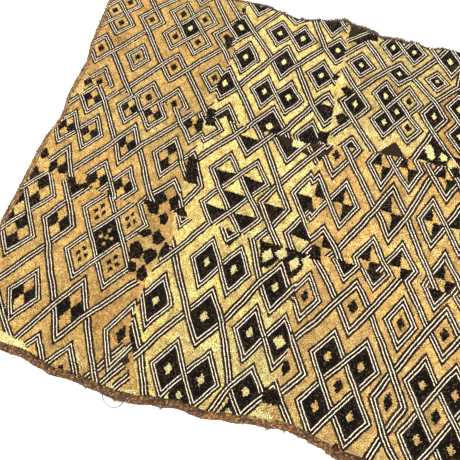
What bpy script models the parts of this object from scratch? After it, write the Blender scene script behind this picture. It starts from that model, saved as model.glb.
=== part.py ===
"""Kuba raffia cloth: a square of raffia with cut pile embroidery, lying flat.

One sheet, made as the real one is: a woven raffia ground whose bare edge shows
on three sides, a thicker embroidered field inside it, and a rolled hem along
the near edge that is part of the same cloth. Metres, +Z up, the underside on
the plane z = 0 and the middle of the outline at the origin. +X runs to the
right along the hem, +Y runs from the hem to the frayed far edge.
"""
import math

import bpy
from mathutils import Vector

# Driving dimensions, in metres
GROUND_THICKNESS = 0.0012
PILE_THICKNESS = 0.0030
HEM_THICKNESS = 0.0042
HEM_LIP_THICKNESS = 0.0018
HEM_WIDTH = 0.0075
BARE_SIDE_WIDTH = 0.0075
BARE_TOP_WIDTH = 0.0050
PILE_RISE_WIDTH = 0.0025
SWELL_HEIGHT = 0.0003

# Corners of the cloth before its edges wander, measured from the middle of the hem line
NEAR_LEFT = Vector((-0.278, 0.000))
NEAR_RIGHT = Vector((0.277, -0.001))
FAR_LEFT = Vector((-0.302, 0.568))
FAR_RIGHT = Vector((0.265, 0.517))

# Each edge: share of the way along it, millimetres that it stands out from its straight line
# Columns: share, out_mm
HEM_EDGE = (
    (0.00, 0.0), (0.13, 4.6), (0.17, 4.8), (0.22, 9.3), (0.24, 11.9), (0.28, 10.3),
    (0.33, 12.3), (0.37, 14.1), (0.40, 13.1), (0.45, 7.9), (0.49, 4.1), (0.53, 5.2),
    (0.58, 0.6), (0.63, -4.3), (0.68, -8.0), (0.71, -6.5), (0.74, -3.2), (0.77, 1.7),
    (0.85, 3.0), (0.93, 1.0), (1.00, 0.0),
)
FAR_EDGE = (
    (0.00, 0.0), (0.10, -2.5), (0.22, 1.5), (0.30, -1.0), (0.36, 0.5), (0.42, 2.2),
    (0.46, -2.5), (0.49, -7.5), (0.52, -8.7), (0.59, 0.8), (0.63, 9.2), (0.65, 2.9),
    (0.70, -1.4), (0.73, -6.7), (0.78, -5.5), (0.81, -1.8), (0.83, -6.4), (0.88, -1.0),
    (1.00, 0.0),
)
LEFT_EDGE = (
    (0.00, 0.0), (0.23, -2.3), (0.32, -3.7), (0.41, -3.9), (0.45, -5.9), (0.48, -10.0),
    (0.51, -12.9), (0.58, -8.4), (0.65, -10.0), (0.68, -11.5), (0.75, -4.5), (0.80, -3.0),
    (0.84, -1.7), (0.89, 0.0), (1.00, 0.0),
)
RIGHT_EDGE = ((0.00, 0.0), (0.25, 2.0), (0.50, -2.5), (0.75, 1.5), (1.00, 0.0))

# Grid of the sheet
FIELD_COLUMNS = 42
FIELD_ROWS = 40
# A row this close to the hem's inner line, as a share of its width, belongs to the field
ROW_MARGIN = 0.01
# Rolled hem, from its outer lip inward: share of its width, share of its rise above the lip
# Columns: across, rise
HEM_ROLL = ((0.0, 0.0), (0.2, 0.75), (0.5, 1.0), (0.8, 0.8), (1.0, 0.5))

# Soft unevenness of the lying cloth: waves across and along, phase, share of the height
# Columns: across, along, phase, share
SWELLS = ((2.0, 1.0, 0.4, 0.45), (1.0, 3.0, 1.9, 0.35), (4.0, 2.5, 3.1, 0.20))

RAFFIA_COLOR = (0.62, 0.42, 0.15, 1.0)
RAFFIA_ROUGHNESS = 0.85


def smooth_step(value):
    """0 to 1 with a soft start and end, for a value that is held between 0 and 1."""
    value = min(max(value, 0.0), 1.0)
    return value * value * (3.0 - 2.0 * value)


def stand_out(edge, share):
    """Metres that an edge stands out at a share of its length, eased between its rows."""
    for (low, low_out), (high, high_out) in zip(edge, edge[1:]):
        if share <= high:
            blend = smooth_step((share - low) / (high - low))
            return (low_out + (high_out - low_out) * blend) / 1000.0
    return edge[-1][1] / 1000.0


def edge_point(start, end, edge, share, outward):
    """A point of one edge: its straight line, moved outward by the edge's table."""
    return start.lerp(end, share) + outward * stand_out(edge, share)


def sheet_point(across, along):
    """Blend the four edges into the point of the sheet at two shares from 0 to 1."""
    hem = edge_point(NEAR_LEFT, NEAR_RIGHT, HEM_EDGE, across, Vector((0.0, -1.0)))
    far = edge_point(FAR_LEFT, FAR_RIGHT, FAR_EDGE, across, Vector((0.0, 1.0)))
    left = edge_point(NEAR_LEFT, FAR_LEFT, LEFT_EDGE, along, Vector((-1.0, 0.0)))
    right = edge_point(NEAR_RIGHT, FAR_RIGHT, RIGHT_EDGE, along, Vector((1.0, 0.0)))
    near_line = NEAR_LEFT.lerp(NEAR_RIGHT, across)
    far_line = FAR_LEFT.lerp(FAR_RIGHT, across)
    return hem.lerp(far, along) + left.lerp(right, across) - near_line.lerp(far_line, along)


def column_shares():
    """Shares across the sheet, with lines where the pile begins beside each bare edge."""
    width = (NEAR_RIGHT - NEAR_LEFT).length
    bare = BARE_SIDE_WIDTH / width
    piled = (BARE_SIDE_WIDTH + PILE_RISE_WIDTH) / width
    span = 1.0 - 2.0 * piled
    field = [piled + span * step / FIELD_COLUMNS for step in range(FIELD_COLUMNS + 1)]
    return [0.0, bare] + field + [1.0 - bare, 1.0]


def row_shares():
    """Shares from the hem to the far edge, with lines across the roll and at the bare edge."""
    height = (FAR_LEFT - NEAR_LEFT).length
    hem = HEM_WIDTH / height
    bare = BARE_TOP_WIDTH / height
    piled = (BARE_TOP_WIDTH + PILE_RISE_WIDTH) / height
    span = 1.0 - piled - hem
    field = [hem + span * step / FIELD_ROWS for step in range(FIELD_ROWS + 1)]
    roll = [hem * across for across, _ in HEM_ROLL[:-1]]
    return roll + field + [1.0 - bare, 1.0]


def roll_height(across):
    """Height of the rolled hem at a share of its width, read from its rows."""
    for (low, low_rise), (high, high_rise) in zip(HEM_ROLL, HEM_ROLL[1:]):
        if across <= high:
            rise = low_rise + (high_rise - low_rise) * (across - low) / (high - low)
            return HEM_LIP_THICKNESS + (HEM_THICKNESS - HEM_LIP_THICKNESS) * rise
    return PILE_THICKNESS


def swell(across, along):
    """The lying cloth's soft unevenness, added to its thickness."""
    total = 0.0
    for waves_across, waves_along, phase, share in SWELLS:
        turn = 2.0 * math.pi * (waves_across * across + waves_along * along)
        total += share * math.sin(turn + phase)
    return SWELL_HEIGHT * total


def top_height(across, along):
    """Height of the top face: a roll at the hem, bare ground at the other edges, pile inside."""
    width = (NEAR_RIGHT - NEAR_LEFT).length
    height = (FAR_LEFT - NEAR_LEFT).length
    uneven = swell(across, along)
    hem_share = along * height / HEM_WIDTH
    if hem_share < HEM_ROLL[-1][0] - ROW_MARGIN:
        return roll_height(hem_share) + uneven
    from_side = min(across, 1.0 - across) * width - BARE_SIDE_WIDTH
    from_far = (1.0 - along) * height - BARE_TOP_WIDTH
    pile = smooth_step(min(from_side, from_far) / PILE_RISE_WIDTH)
    return GROUND_THICKNESS + (PILE_THICKNESS - GROUND_THICKNESS + uneven) * pile


def middle_of(points):
    """Middle of the box around flat points."""
    xs = [point.x for point in points]
    ys = [point.y for point in points]
    return Vector(((min(xs) + max(xs)) / 2.0, (min(ys) + max(ys)) / 2.0))


def rim_indices(columns, rows):
    """Grid indices around the sheet's rim, counterclockwise from above."""
    near = [column for column in range(columns)]
    right = [row * columns + columns - 1 for row in range(1, rows)]
    far = [(rows - 1) * columns + column for column in range(columns - 2, -1, -1)]
    left = [row * columns for row in range(rows - 2, 0, -1)]
    return near + right + far + left


def sheet_mesh(name):
    """The closed sheet: an uneven top, a flat underside and the rim between them."""
    across_shares = column_shares()
    along_shares = row_shares()
    columns = len(across_shares)
    rows = len(along_shares)
    cells = [(across, along) for along in along_shares for across in across_shares]
    flat = [sheet_point(across, along) for across, along in cells]
    middle = middle_of(flat)
    top = [(*(point - middle), top_height(*cell)) for point, cell in zip(flat, cells)]
    under = [(x, y, 0.0) for x, y, _ in top]
    offset = len(top)
    faces = []
    for row in range(rows - 1):
        for column in range(columns - 1):
            corner = row * columns + column
            quad = (corner, corner + 1, corner + columns + 1, corner + columns)
            faces.append(quad)
            faces.append(tuple(index + offset for index in reversed(quad)))
    rim = rim_indices(columns, rows)
    for start, end in zip(rim, rim[1:] + rim[:1]):
        faces.append((start + offset, end + offset, end, start))
    mesh = bpy.data.meshes.new(name)
    mesh.from_pydata(top + under, [], faces)
    mesh.validate()
    mesh.update()
    return mesh


def raffia_material():
    """Ochre raffia, dry and matt."""
    material = bpy.data.materials.new("raffia")
    material.use_nodes = True
    shader = material.node_tree.nodes["Principled BSDF"]
    shader.inputs["Base Color"].default_value = RAFFIA_COLOR
    shader.inputs["Roughness"].default_value = RAFFIA_ROUGHNESS
    shader.inputs["Metallic"].default_value = 0.0
    return material


def build_cloth():
    """The cloth as one object, lying on the plane z = 0."""
    mesh = sheet_mesh("raffia_cloth")
    mesh.materials.append(raffia_material())
    cloth = bpy.data.objects.new("raffia_cloth", mesh)
    bpy.context.scene.collection.objects.link(cloth)
    return cloth


def clear_scene():
    """Remove what the scene already holds."""
    for item in list(bpy.data.objects):
        bpy.data.objects.remove(item, do_unlink=True)


clear_scene()
build_cloth()
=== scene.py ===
"""Kuba raffia cloth: a square of raffia plain weave with stitched bands and cut pile.

The cloth lies flat. A thin woven sheet carries small closed tufts of cut pile, slanted
stem stitches in rows of five, a rolled and whipped hem and loose fibres at its edges.
The pattern is laid out from a chart of motifs, in millimetres on the cloth: S runs along
the hem and T runs up from it. Metres elsewhere.
"""
import math

import bpy
import numpy as np
from mathutils import Matrix


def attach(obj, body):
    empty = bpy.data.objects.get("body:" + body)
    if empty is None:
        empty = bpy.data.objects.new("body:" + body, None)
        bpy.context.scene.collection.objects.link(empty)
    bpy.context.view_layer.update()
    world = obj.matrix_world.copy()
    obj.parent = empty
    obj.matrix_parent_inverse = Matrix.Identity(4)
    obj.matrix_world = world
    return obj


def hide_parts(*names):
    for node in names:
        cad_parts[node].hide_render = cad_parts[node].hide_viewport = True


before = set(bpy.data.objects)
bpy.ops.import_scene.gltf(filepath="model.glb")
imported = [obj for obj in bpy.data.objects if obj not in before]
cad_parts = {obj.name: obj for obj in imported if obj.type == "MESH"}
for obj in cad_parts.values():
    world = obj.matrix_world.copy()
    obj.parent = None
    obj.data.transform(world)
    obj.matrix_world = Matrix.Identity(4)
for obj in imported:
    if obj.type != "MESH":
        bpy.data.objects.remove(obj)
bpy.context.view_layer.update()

# Heights of the cloth, in metres
GROUND_THICKNESS = 0.0012
PILE_THICKNESS = 0.0030
HEM_THICKNESS = 0.0042
HEM_LIP_THICKNESS = 0.0018
SWELL_HEIGHT = 0.0003

# Widths of the strips along its edges, in metres
HEM_WIDTH = 0.0075
BARE_SIDE_WIDTH = 0.0075
BARE_TOP_WIDTH = 0.0050
PILE_RISE_WIDTH = 0.0025

# Corners of the cloth before its edges wander, from the middle of the hem line
NEAR_LEFT = np.array((-0.278, 0.000))
NEAR_RIGHT = np.array((0.277, -0.001))
FAR_LEFT = np.array((-0.302, 0.568))
FAR_RIGHT = np.array((0.265, 0.517))
# Middle of the outline's box, which the part puts at its origin
MIDDLE = np.array((-0.0125, 0.27686))
# Width along the hem and height of the left side
NEAR_WIDTH = NEAR_RIGHT[0] - NEAR_LEFT[0]
LEFT_HEIGHT = FAR_LEFT[1] - NEAR_LEFT[1]

# Each edge: share of the way along it, millimetres that it stands out from its straight line
HEM_EDGE = (
    (0.00, 0.0), (0.13, 4.6), (0.17, 4.8), (0.22, 9.3), (0.24, 11.9), (0.28, 10.3),
    (0.33, 12.3), (0.37, 14.1), (0.40, 13.1), (0.45, 7.9), (0.49, 4.1), (0.53, 5.2),
    (0.58, 0.6), (0.63, -4.3), (0.68, -8.0), (0.71, -6.5), (0.74, -3.2), (0.77, 1.7),
    (0.85, 3.0), (0.93, 1.0), (1.00, 0.0),
)
FAR_EDGE = (
    (0.00, 0.0), (0.10, -2.5), (0.22, 1.5), (0.30, -1.0), (0.36, 0.5), (0.42, 2.2),
    (0.46, -2.5), (0.49, -7.5), (0.52, -8.7), (0.59, 0.8), (0.63, 9.2), (0.65, 2.9),
    (0.70, -1.4), (0.73, -6.7), (0.78, -5.5), (0.81, -1.8), (0.83, -6.4), (0.88, -1.0),
    (1.00, 0.0),
)
LEFT_EDGE = (
    (0.00, 0.0), (0.23, -2.3), (0.32, -3.7), (0.41, -3.9), (0.45, -5.9), (0.48, -10.0),
    (0.51, -12.9), (0.58, -8.4), (0.65, -10.0), (0.68, -11.5), (0.75, -4.5), (0.80, -3.0),
    (0.84, -1.7), (0.89, 0.0), (1.00, 0.0),
)
RIGHT_EDGE = ((0.00, 0.0), (0.25, 2.0), (0.50, -2.5), (0.75, 1.5), (1.00, 0.0))

# Rolled hem, from its outer lip inward: share of its width, share of its rise above the lip
HEM_ROLL = ((0.0, 0.0), (0.2, 0.75), (0.5, 1.0), (0.8, 0.8), (1.0, 0.5))

# Soft unevenness of the lying cloth: waves across and along, phase, share of the height
SWELLS = ((2.0, 1.0, 0.4, 0.45), (1.0, 3.0, 1.9, 0.35), (4.0, 2.5, 3.1, 0.20))

# Millimetres of the chart along the hem and up from it
CHART_SIZE = 560.0

# Stitched bands: width of the five rows together, share of it round small motifs
BAND_WIDTH = 8.6
SMALL_BAND = 0.9
BAND_ROWS = 5
# How far a band's loose end runs on past its crossing, across and up
ARM = np.array((23.0, 33.0))

# Size of a knot's outer corner, in half widths of its middle cell
KNOT_REACH = {"B-mid": 2.8, "C-top": 3.05}
PLAIN_KNOT_REACH = 2.9

# Chart of the pattern, in nine blocks: left, middle and right, each top, mid and bottom. The
# rows of a block go down and end with a semicolon. A motif: kind, fill, S, T, half width, half
# height, lean in hundredths, and for some pairs how much higher the right cell sits. A dash
# stands for an empty place.
# Kinds: K and k a crossing of two bands, D the same on end, S a closed diamond,
# P a pair of cells with a crossing between them, F a knot of two loops.
CHART = {
    "A-top": """
        K g 22 559 18.2 21 -2, S g 79 557 15.3 19.7 -3, K g 141 556 17.6 21 -4, S n 206 557 25 34 -2;
        F ggggg 18 483 18.5 20.8 -2, D g 79 482 18.2 21.5 -3,
        F ggggb 140 484 17.9 22.6 -4, D g 195 484 17.6 21.5 -5;
        K g 24 410 19.5 23.4 -2, S g 83 410 15.7 20.6 -3, K g 139 408 18.1 22 -4, S g 198 407 16.3 20.6 -5;
        F ggggb 27 331 19 23.6 -2, D g 88 333 18.7 22.5 -3,
        F ggggb 140 327 18.4 23.7 -4, D g 204 328 18.1 22.6 -5""",
    "A-mid": """
        P x 46 383 16.7 22.5 5, K x 116 382 18.7 23.6 3, P x 191 383 16 22.6 2;
        k x 45 326 17.7 22.9 -2, P x 118 326 16.5 22.9 -3, k x 193 325 18.9 25.5 -5;
        P x 45 274 16.6 24 5, K x 117 272 16.7 27.4 3, P y 193 270 18.3 27.4 2;
        k x 42 214 17.2 30.5 5, P x 116 215 16.9 24.1 3, k x 193 213 22 27.2 2;
        P x 43 158 17.4 24.1 5, K x 121 156 17.9 25.3 3, P x 195 155 16.7 24.2 2""",
    "A-bot": """
        K y 15 230 19.8 28.8 5, S x 70 231 17.5 26.6 4, K x 130 228 19.2 28.9 3, S x 188 227 16.9 26.7 2;
        F yyyyy 10 150 21.4 28.7 5, D x 73 149 19.4 29.5 4,
        F 4444d 137 147 20.6 28.8 3, D x 199 146 19.1 29.6 2;
        K y 9 60 20.5 30.3 5, S x 70 58 18 28 13, K x 128 57 19.8 33.1 7, S g 194 48 18.6 34.8 6;
        F gggg4 5 -28 22.1 30.3 5, D g 78 -24 20.4 31.1 4,
        F gggg4 123 -34 20.1 28.3 3, D g 177 -26 19.8 31.1 2""",
    "B-top": """
        P b 213 561 16.5 21 -1, K b 285 561 21.9 20.4 -2, P b 353 557 15.9 23.1 -3;
        k b 211 507 18.5 23.5 -1, P b 284 514 16.3 21.4 -2, k b 351 508 18.2 21.8 -3;
        P b 214 456 16.8 24.9 -1, K b 285 464 18.3 26.6 -2, P b 353 456 16.2 23.9 -3;
        k b 214 403 18.9 25.3 -1, P b 286 406 16.6 24.9 -2, k h 353 403 18.1 24.6 -3;
        P b 213 346 16.4 21.7 -1, K b 288 354 20.9 27.5 -2, P kb 355 351 15.7 24.7 -3;
        k b 220 295 19.2 25.4 -1, P b 294 295 16.9 25.1 -2, k b 361 292 18.5 25.5 -3""",
    "B-mid": """
        F hhhhh 212 404 18.5 24.9 -2, D h 262 403 17.5 25 -3, F hhhhh 310 402 18 25 -3, D h 367 405 17 25 -4;
        S n 212 329 16.9 21.9 -2, K h 268 330 17.7 25.5 -3, S h 317 347 24.4 37 -7, K h 367 328 17.2 25.6 -4;
        D H 210 243 16.5 32 -2, F hhhhh 269 247 18.8 26.2 -3,
        D h 318 245 16.6 29.6 -4, F hhHhh 370 241.5 17.1 30 -4;
        S h 216 166 17.4 23 -2, K h 273 166 18.2 26.8 -3, S h 326 163 16.8 23 -4, K h 376 162 17.7 26.9 -4""",
    "B-bot": """
        P b 202 213 16.9 26.4 6, k b 277 212 18.1 26.8 4, P b 345 211 16.2 26.5 3;
        K b 201 153 18.7 27.3 6, P b 276 152 16.7 26.9 4, K b 341 148 16.8 27 3;
        P b 202 94 16 28.1 6, k b 274 93 19.6 28.9 4, P b 341 91 15.8 26.6 3;
        K b 200 38 19 28.2 6, P b 271 30 17.5 27.1 4, K b 336 32 17.2 24.7 3;
        P b 197 -32 17.7 28.4 6, k b 270 -34 18.9 28.8 4, P b 334 -34 17 28.4 3""",
    "C-top": """
        P b 382 588 14.2 19.6 -5, K b 430 587 15.8 21.6 -6,
        P b 481 586 13.8 19.6 -6, K b 526 586 15.3 21.6 -7;
        -, P b 437 538 14.1 19.9 -6, k b 498 537 15.6 26.1 -10, P b 539 538 13.7 19.9 -7;
        S b 386 492 15.9 18.1 -5, K b 436 493 16.4 18.1 -6,
        S b 484 495 12.3 14.6 -6, K b 527 494 15.6 22.3 -7;
        D b 387 423 17.5 24.5 -5, F bgbgb 439 428 14.4 21.3 -6,
        D b 485 435 14.9 24.8 -2, F bbbbb 530 435 14 21.3 -7;
        S b 392 347 15.2 20.4 -5, K n 444 345 16.4 26.9 -6,
        S b 495 352 14.7 18.2 -7, K b 541 355 15.9 23.3 -7""",
    "C-mid": """
        P w 371 401 15.9 27.9 -1, K w 441 400 16.6 28.6 -3, P w 499 399 15.3 27.9 -4, K w 562 401 16 28.7 -5;
        k g 376 337 17.9 29.5 -2, P w 447 341 15.7 29.2 -9 6,
        k w 505 343 14.7 27.3 -10, P w 563 343 15.2 28.5 -5;
        P vw 378 272 16.6 29 -2, K w 449 277 17.3 34.2 -3, P w 510 279 14.9 29 -5, K w 572 279 16.3 29.8 -5;
        k v 380 210 17.5 23.5 -2, P w 451 210 16.1 28.1 -3 2,
        k w 514 211 15 31.1 -4, P w 574 211 15.5 29.6 -5;
        P w 383 145 16.6 30.1 -2, K w 454 143 17.4 30.9 -3,
        P w 520 142 15.9 30.2 -4, K w 581 144 16.7 31 -5""",
    "C-bot": """
        D g 369 231 16.4 26 4, F ooooo 427 229 16.5 25.6 2, D g 472 229 15.9 26 2,
        F ooooo 522 228 16 25.7 1, D g 561 227 15.5 26.1 0;
        S g 373 146 14.4 25.1 3, K g 424 151 17.1 27 2, S g 474 148 13.9 25.1 2,
        K g 518 151 15.6 26.7 1, S g 562 151 13.6 25.1 0;
        D g 369 67 18.4 28.4 3, F oooog 423 65 17 26.9 6, D g 471 64 14.5 30.1 2,
        F oooog 516 65 15.8 26.9 1, D g 564 65 15.9 27.4 0;
        S g 378 -21 14.8 26.3 3, K g 429 -24 16.9 28 2, S g 478 -23 14.4 26.4 1,
        K g 525 -25 16.4 28.1 1, S g 573 -24 14 26.5 0""",
}

# Bands that stray from the blocks' order: block, start and end
LOOSE_BANDS = (
    ("C-top", (360, 529), (387, 556)), ("C-top", (360, 502), (387, 535)),
    ("C-top", (386, 538), (398, 524)), ("A-bot", (188, -5), (206, 21)),
    ("A-bot", (204, -4), (214, 11)),
)


def points_of(text):
    """Pairs of numbers, as written with a comma in each pair."""
    return [tuple(float(number) for number in pair.split(",")) for pair in text.split()]


# Where the blocks meet: left with middle and middle with right by S,T going up,
# top with mid and mid with bottom by S,T going right
LEFT_SEAM = points_of("""
    232,-5 214,30 203,50 200,60 199,80 201,95 200,110 202,128 207,140 216,158 212,170 207,186 207,202
    205,225 205,247 205,288 208,303 206,324 205,346 210,368 205,393 207,418 212,443 206,570
""")
RIGHT_SEAM = points_of("""
    368,-8 360,40 367,79 370,95 362,118 362,145 362,165 372,195 369,210 359,233 361,270 356,285 354,311
    362,329 363,347 362,358 362,380 361,415 357,451 359,472 361,480 361,500 360,520 356,568
""")
TOP_SEAM = points_of("""
    -13,351 27,349 83,347 140,345 200,345 238,346 276,345 335,344 361,349 386,353 422,355 457,358
    492,360 527,362 561,363
""")
BOTTOM_SEAM = points_of("""
    -12,202 46,204 87,201 139,197 167,199 207,198 254,199 308,196 361,194 372,201 413,200 471,197
    543,197 579,196
""")

# Odd patches of pile where the pattern breaks off, one a line: k black, n brown, p pale or
# g gold, then 1 where the patch also covers the bands, then its corners
PATCHES = """
    g1 0,252 12,252 22,228 23,222 29,219 31,206 33,203 24,203 8,188 0,188
    g1 12,372 20,372 27,358 22,352 12,352
    g1 8,350 20,350 31,331 25,325 10,336
    g1 40,199 40,206 56,208 60,203 58,199
    k1 43,208 43,219 49,222 55,214 55,208
    g1 72,212 80,217 95,206 92,200 78,200
    k1 62,206 70,206 76,199 84,204 92,207 92,201 77,191 64,200
    k1 83,214 88,219 95,217 98,210 92,205 85,207
    k1 22,350 29,359 35,350 29,341
    k1 205,487 206,466 201,464 194,476 198,485
    k1 204,546 210,546 211,537 205,536
    n0 361,533 361,564 394,564 384,552
    k0 367,531 372,535 388,553 400,558 401,542 388,541 380,528
    k0 329,568 347,568 342,546 333,546
    k1 199,508 203,518 210,526 216,517 210,496 203,499
    p1 206,509 210,514 215,508 211,503
    k1 365,443 372,451 381,444 380,436 372,432
    k0 341,408 361,410 361,400 343,400
    k1 365,396 375,405 382,398 380,390 371,385
    k1 351,466 361,464 358,454 353,456
    p1 360,456 364,464 369,456 365,448
    k1 348,367 364,367 361,350 351,351
    k1 205,356 215,358 215,344 205,344
    k1 206,344 217,345 222,331 208,330
    k1 195,331 200,339 205,331 200,323
    n1 304,344 321,344 322,334 310,333
    p1 321,344 337,344 331,334 322,334
    n0 337,344 352,347 372,347 364,329 344,326 333,330
    k1 200,278 211,277 221,247 205,246
    g1 211,203 216,213 222,214 237,198 212,197
    k1 209,207 214,212 224,199 206,198 203,203
    g1 360,270 371,268 368,258 361,256
    n1 355,262 361,262 365,252 357,250
    k1 369,204 381,204 382,193 371,193
    k0 270,196 289,196 280,176
    k1 311,196 366,196 364,176 357,163 351,166 346,176 341,184 335,176 328,166 320,166 316,180
    p1 318,181 326,190 331,180 322,171
    p1 331,187 341,196 346,187 338,180
    p1 348,180 357,189 362,181 354,171
    p1 361,186 368,194 374,187 368,181
    k0 260,6 271,26 284,6 273,-14
    p0 268,9 271,13 275,8 272,4
    k0 313,4 323,23 335,4 325,-15
    p0 320,8 323,12 327,8 324,4
    p0 350,92 357,99 364,91 356,83
    k1 353,42 366,42 372,30 354,27
    g1 352,27 370,28 374,20 353,20
    p1 345,11 351,20 366,20 372,11
    g1 176,200 186,179 181,163 163,150 172,134 184,113 199,104 203,125 214,158 208,200
    k1 164,206 184,206 188,192 178,190
    k1 189,190 195,198 201,190 198,181 193,181
    k1 188,166 194,176 199,168 205,165 198,155 192,156
    k1 170,162 184,172 188,165 180,159
    k1 203,150 206,163 214,158 211,149 205,138
    k1 167,146 175,154 180,150 187,143 184,134 172,130
    k1 186,145 192,151 200,149 202,141 195,129 188,136
    k1 173,128 181,129 186,120 180,114 176,120
    k1 186,122 193,130 200,118 197,110 189,110
    k1 8,228 17,237 25,227 17,218
    g1 11,214 19,220 28,214 19,208
    k1 5,198 14,209 23,198 14,188
    k0 62,201 88,200 76,186
    k0 114,204 128,204 123,192
    n0 195,14 199,20 208,32 211,25 199,12
    n0 203,-4 206,6 213,18 216,10 208,-3
    p0 190,-3 204,3 212,-4 227,1 231,-12 186,-12
    p1 56,12 64,14 78,12 94,10 101,4 95,0 76,0 62,-2
    p0 152,16 156,18 166,-6 159,-8
    n0 406,561 434,560 432,548 423,547 409,549
    n1 440,379 457,357 425,357
    k1 471,362 478,380 487,402 497,390 507,380 509,366 500,362
    p1 477,382 481,388 486,385 490,372 487,365 481,370
    p1 494,375 498,382 503,380 505,373 498,369
    g1 503,366 508,377 518,371 514,361
    k1 510,363 519,366 522,351 514,348
    k1 512,381 522,380 522,372 515,373
"""

# Places that are looked up at once, and rounds of looking for a place of the chart
CHUNK = 20000
SEARCH_ROUNDS = 12

# Dyes of the pile as seen in daylight, red, green and blue from 0 to 255
OCHRE = (213, 176, 100)
STRAW = (246, 222, 141)
WHEAT = (235, 211, 136)
AMBER = (229, 190, 111)
# The dye that fills each block
DYES = {
    "A-top": OCHRE, "A-mid": OCHRE, "A-bot": OCHRE, "B-top": STRAW, "B-mid": STRAW,
    "B-bot": STRAW, "C-top": WHEAT, "C-mid": AMBER, "C-bot": AMBER,
}
FAR_RIGHT_OCHRE = (202, 156, 86)
PALE = (245, 230, 162)
BLACK = (17, 12, 8)
STITCH_BLACK = (27, 18, 11)
BROWN = (52, 40, 26)
BLACK_FLECK = (92, 70, 46)
CREAM = (252, 238, 208)
# Ground between tufts: brown with painted shade; under black pile, painted shade with black fibre
GROUND_BROWN = (104, 70, 32)
BLACK_FIBRE_AND_SHADE_GROUND = (40, 27, 16)
# Hem browns: thread tones, with a paler copy that is painted highlight and darker ones that are painted shade
HEM_BROWNS = ((110, 69, 26), (68, 42, 16), (156, 108, 50), (42, 27, 12), (126, 82, 34))
# Colours of the side fibres and frayed ends, and of the loose thread
EDGE_TANS = ((166, 126, 72), (204, 168, 112), (112, 78, 42), (80, 54, 30), (184, 144, 88))
FRAY_BROWNS = ((40, 28, 16), (70, 48, 26), (112, 80, 44), (150, 116, 70))
FRAY_DARK = (34, 24, 15)
HAIR_GREY = (58, 52, 45)

# Where the far right of the cloth is more ochre, in millimetres: each start and span, how much
# of it fades again further up, and its share
FAR_RIGHT_ACROSS = (484.0, 10.0)
FAR_RIGHT_UP = (372.0, 14.0)
FAR_RIGHT_ENDS = (470.0, 20.0)
FAR_RIGHT_FADES = 0.7
FAR_RIGHT_SHARE = 0.85
# Share by which the far part of the cloth is darker, from a start and over a span
FAR_DARKENING = 0.17
FAR_DARKER_UP = (240.0, 240.0)
# Painted light and shade along the pile's ribs, and how wear and that light turn its red and its blue
RIB_SHARE = 0.08
WEAR_AND_LIGHT_COOLS = 0.25
BLUE_FOLLOWS = 1.5
# Paler specks in the black pile and darker flecks in the gold, as shares of the tufts
SPECK_SHARE = 0.13
FLECK_SHARE = 0.07
FLECK_LIGHT = 0.45
# How uneven the dye is from one tuft, stitch or thread to the next
TUFT_UNEVEN = 0.16
STITCH_DYE_UNEVEN = 0.10
THREAD_UNEVEN = 0.20
# Least and most light of one of them
TUFT_LIGHT = (0.3, 1.5)
STITCH_LIGHT = (0.6, 1.3)
THREAD_LIGHT = (0.5, 1.6)

# Darker stains in the pile, in millimetres: S, T, radius, share of the light taken away
STAINS = (
    (436, 462, 9, 0.50), (456, 455, 9, 0.45), (474, 458, 8, 0.40), (497, 455, 9, 0.40),
    (410, 470, 9, 0.40), (465, 474, 8, 0.25), (393, 467, 8, 0.25), (371, 524, 9, 0.45),
    (430, 474, 9, 0.35), (42, 432, 10, 0.40), (60, 414, 8, 0.30), (18, 380, 14, 0.25),
    (410, 530, 9, 0.25), (505, 400, 16, 0.15), (352, 550, 10, 0.20), (228, 556, 12, 0.35),
    (152, 532, 9, 0.25), (12, 470, 10, 0.25),
)
# Share of the stain's weight in red, green and blue
STAIN_HUE = (0.75, 1.0, 1.35)

# Soft noises. Columns: size of a lump, how much it changes, its own draw
# On the cloth, with sizes in metres
GROUND_LUMPS = (0.02, 0.15, 3)
HEM_LUMPS = (0.0035, 0.4, 71)
# On the chart, with sizes in millimetres
WEAR = ((30.0, 0.13, 11), (9.0, 0.19, 12), (3.4, 0.28, 14))
WARMTH = (50.0, 0.07, 13)
STAIN_LUMPS = (4.0, 0.5, 15)
RIB_WAVER = (14.0, 0.9, 16)
PILE_LUMPS = (12.0, 0.0002, 21)
RIM_LUMPS = (11.0, 0.0016, 51)
# How the pattern wavers, as it is drawn by eye and thread
WAVERS = ((16.0, 0.7, 41), (45.0, 1.0, 43), (6.0, 0.25, 45))
WAVER_SHIFT = 200.0
# Cells of the lattice behind each soft noise
LATTICE = 96

# Share of the rolled hem that stays bare of pile, along S
HEM_BARE = (
    (-10, 1.0), (110, 1.05), (150, 0.95), (180, 1.1), (230, 1.05), (300, 0.85), (325, 0.6),
    (360, 0.5), (405, 0.5), (425, 0.9), (450, 1.05), (560, 1.0),
)
# How much lower the woven sheet lies than the solid, in metres, and its paler underside
GROUND_SINK = 0.0001
HEM_SINK = 0.0006
UNDERSIDE_PALER = 1.5

# Cut pile: distance between tufts and how far one strays, in millimetres
TUFT_PITCH = 1.22
TUFT_STRAY = 0.13
# How far the grid of tufts runs on past the chart, in millimetres, as the edges wander
OVERHANG_UP = 20.0
OVERHANG_ASIDE = 16.0
# One tuft, in metres: half its width, its lean and the height of its foot
TUFT_HALF_WIDTH = 0.00098
TUFT_LEAN = 0.00035
TUFT_FOOT = 0.0009
# Black tufts are fuller than the gold ones
BLACK_FULLER = 1.2
# How far the pile's colour edges stray, in millimetres, as each tuft sits on its own thread
RAGGED_EDGE = 0.6
# Height of the pile, in metres: fall towards bare edges, unevenness, extra rise, limits
PILE_FALL = 0.0012
PILE_UNEVEN = 0.00032
PILE_ABOVE = 0.0001
PILE_LIMITS = (0.0016, 0.0040)
# Rim of the pile, in metres: how ragged, how far over the bare sides, how far from the hem
RAGGED_RIM = 0.0018
PILE_OVERLAP = 0.001
PILE_FROM_HEM = 0.0004
# The pile and the bands stop this far from the frayed edge, and fall less there than aside
FAR_PILE_EDGE = 0.0020
FAR_ROOM = 0.0025
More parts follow.
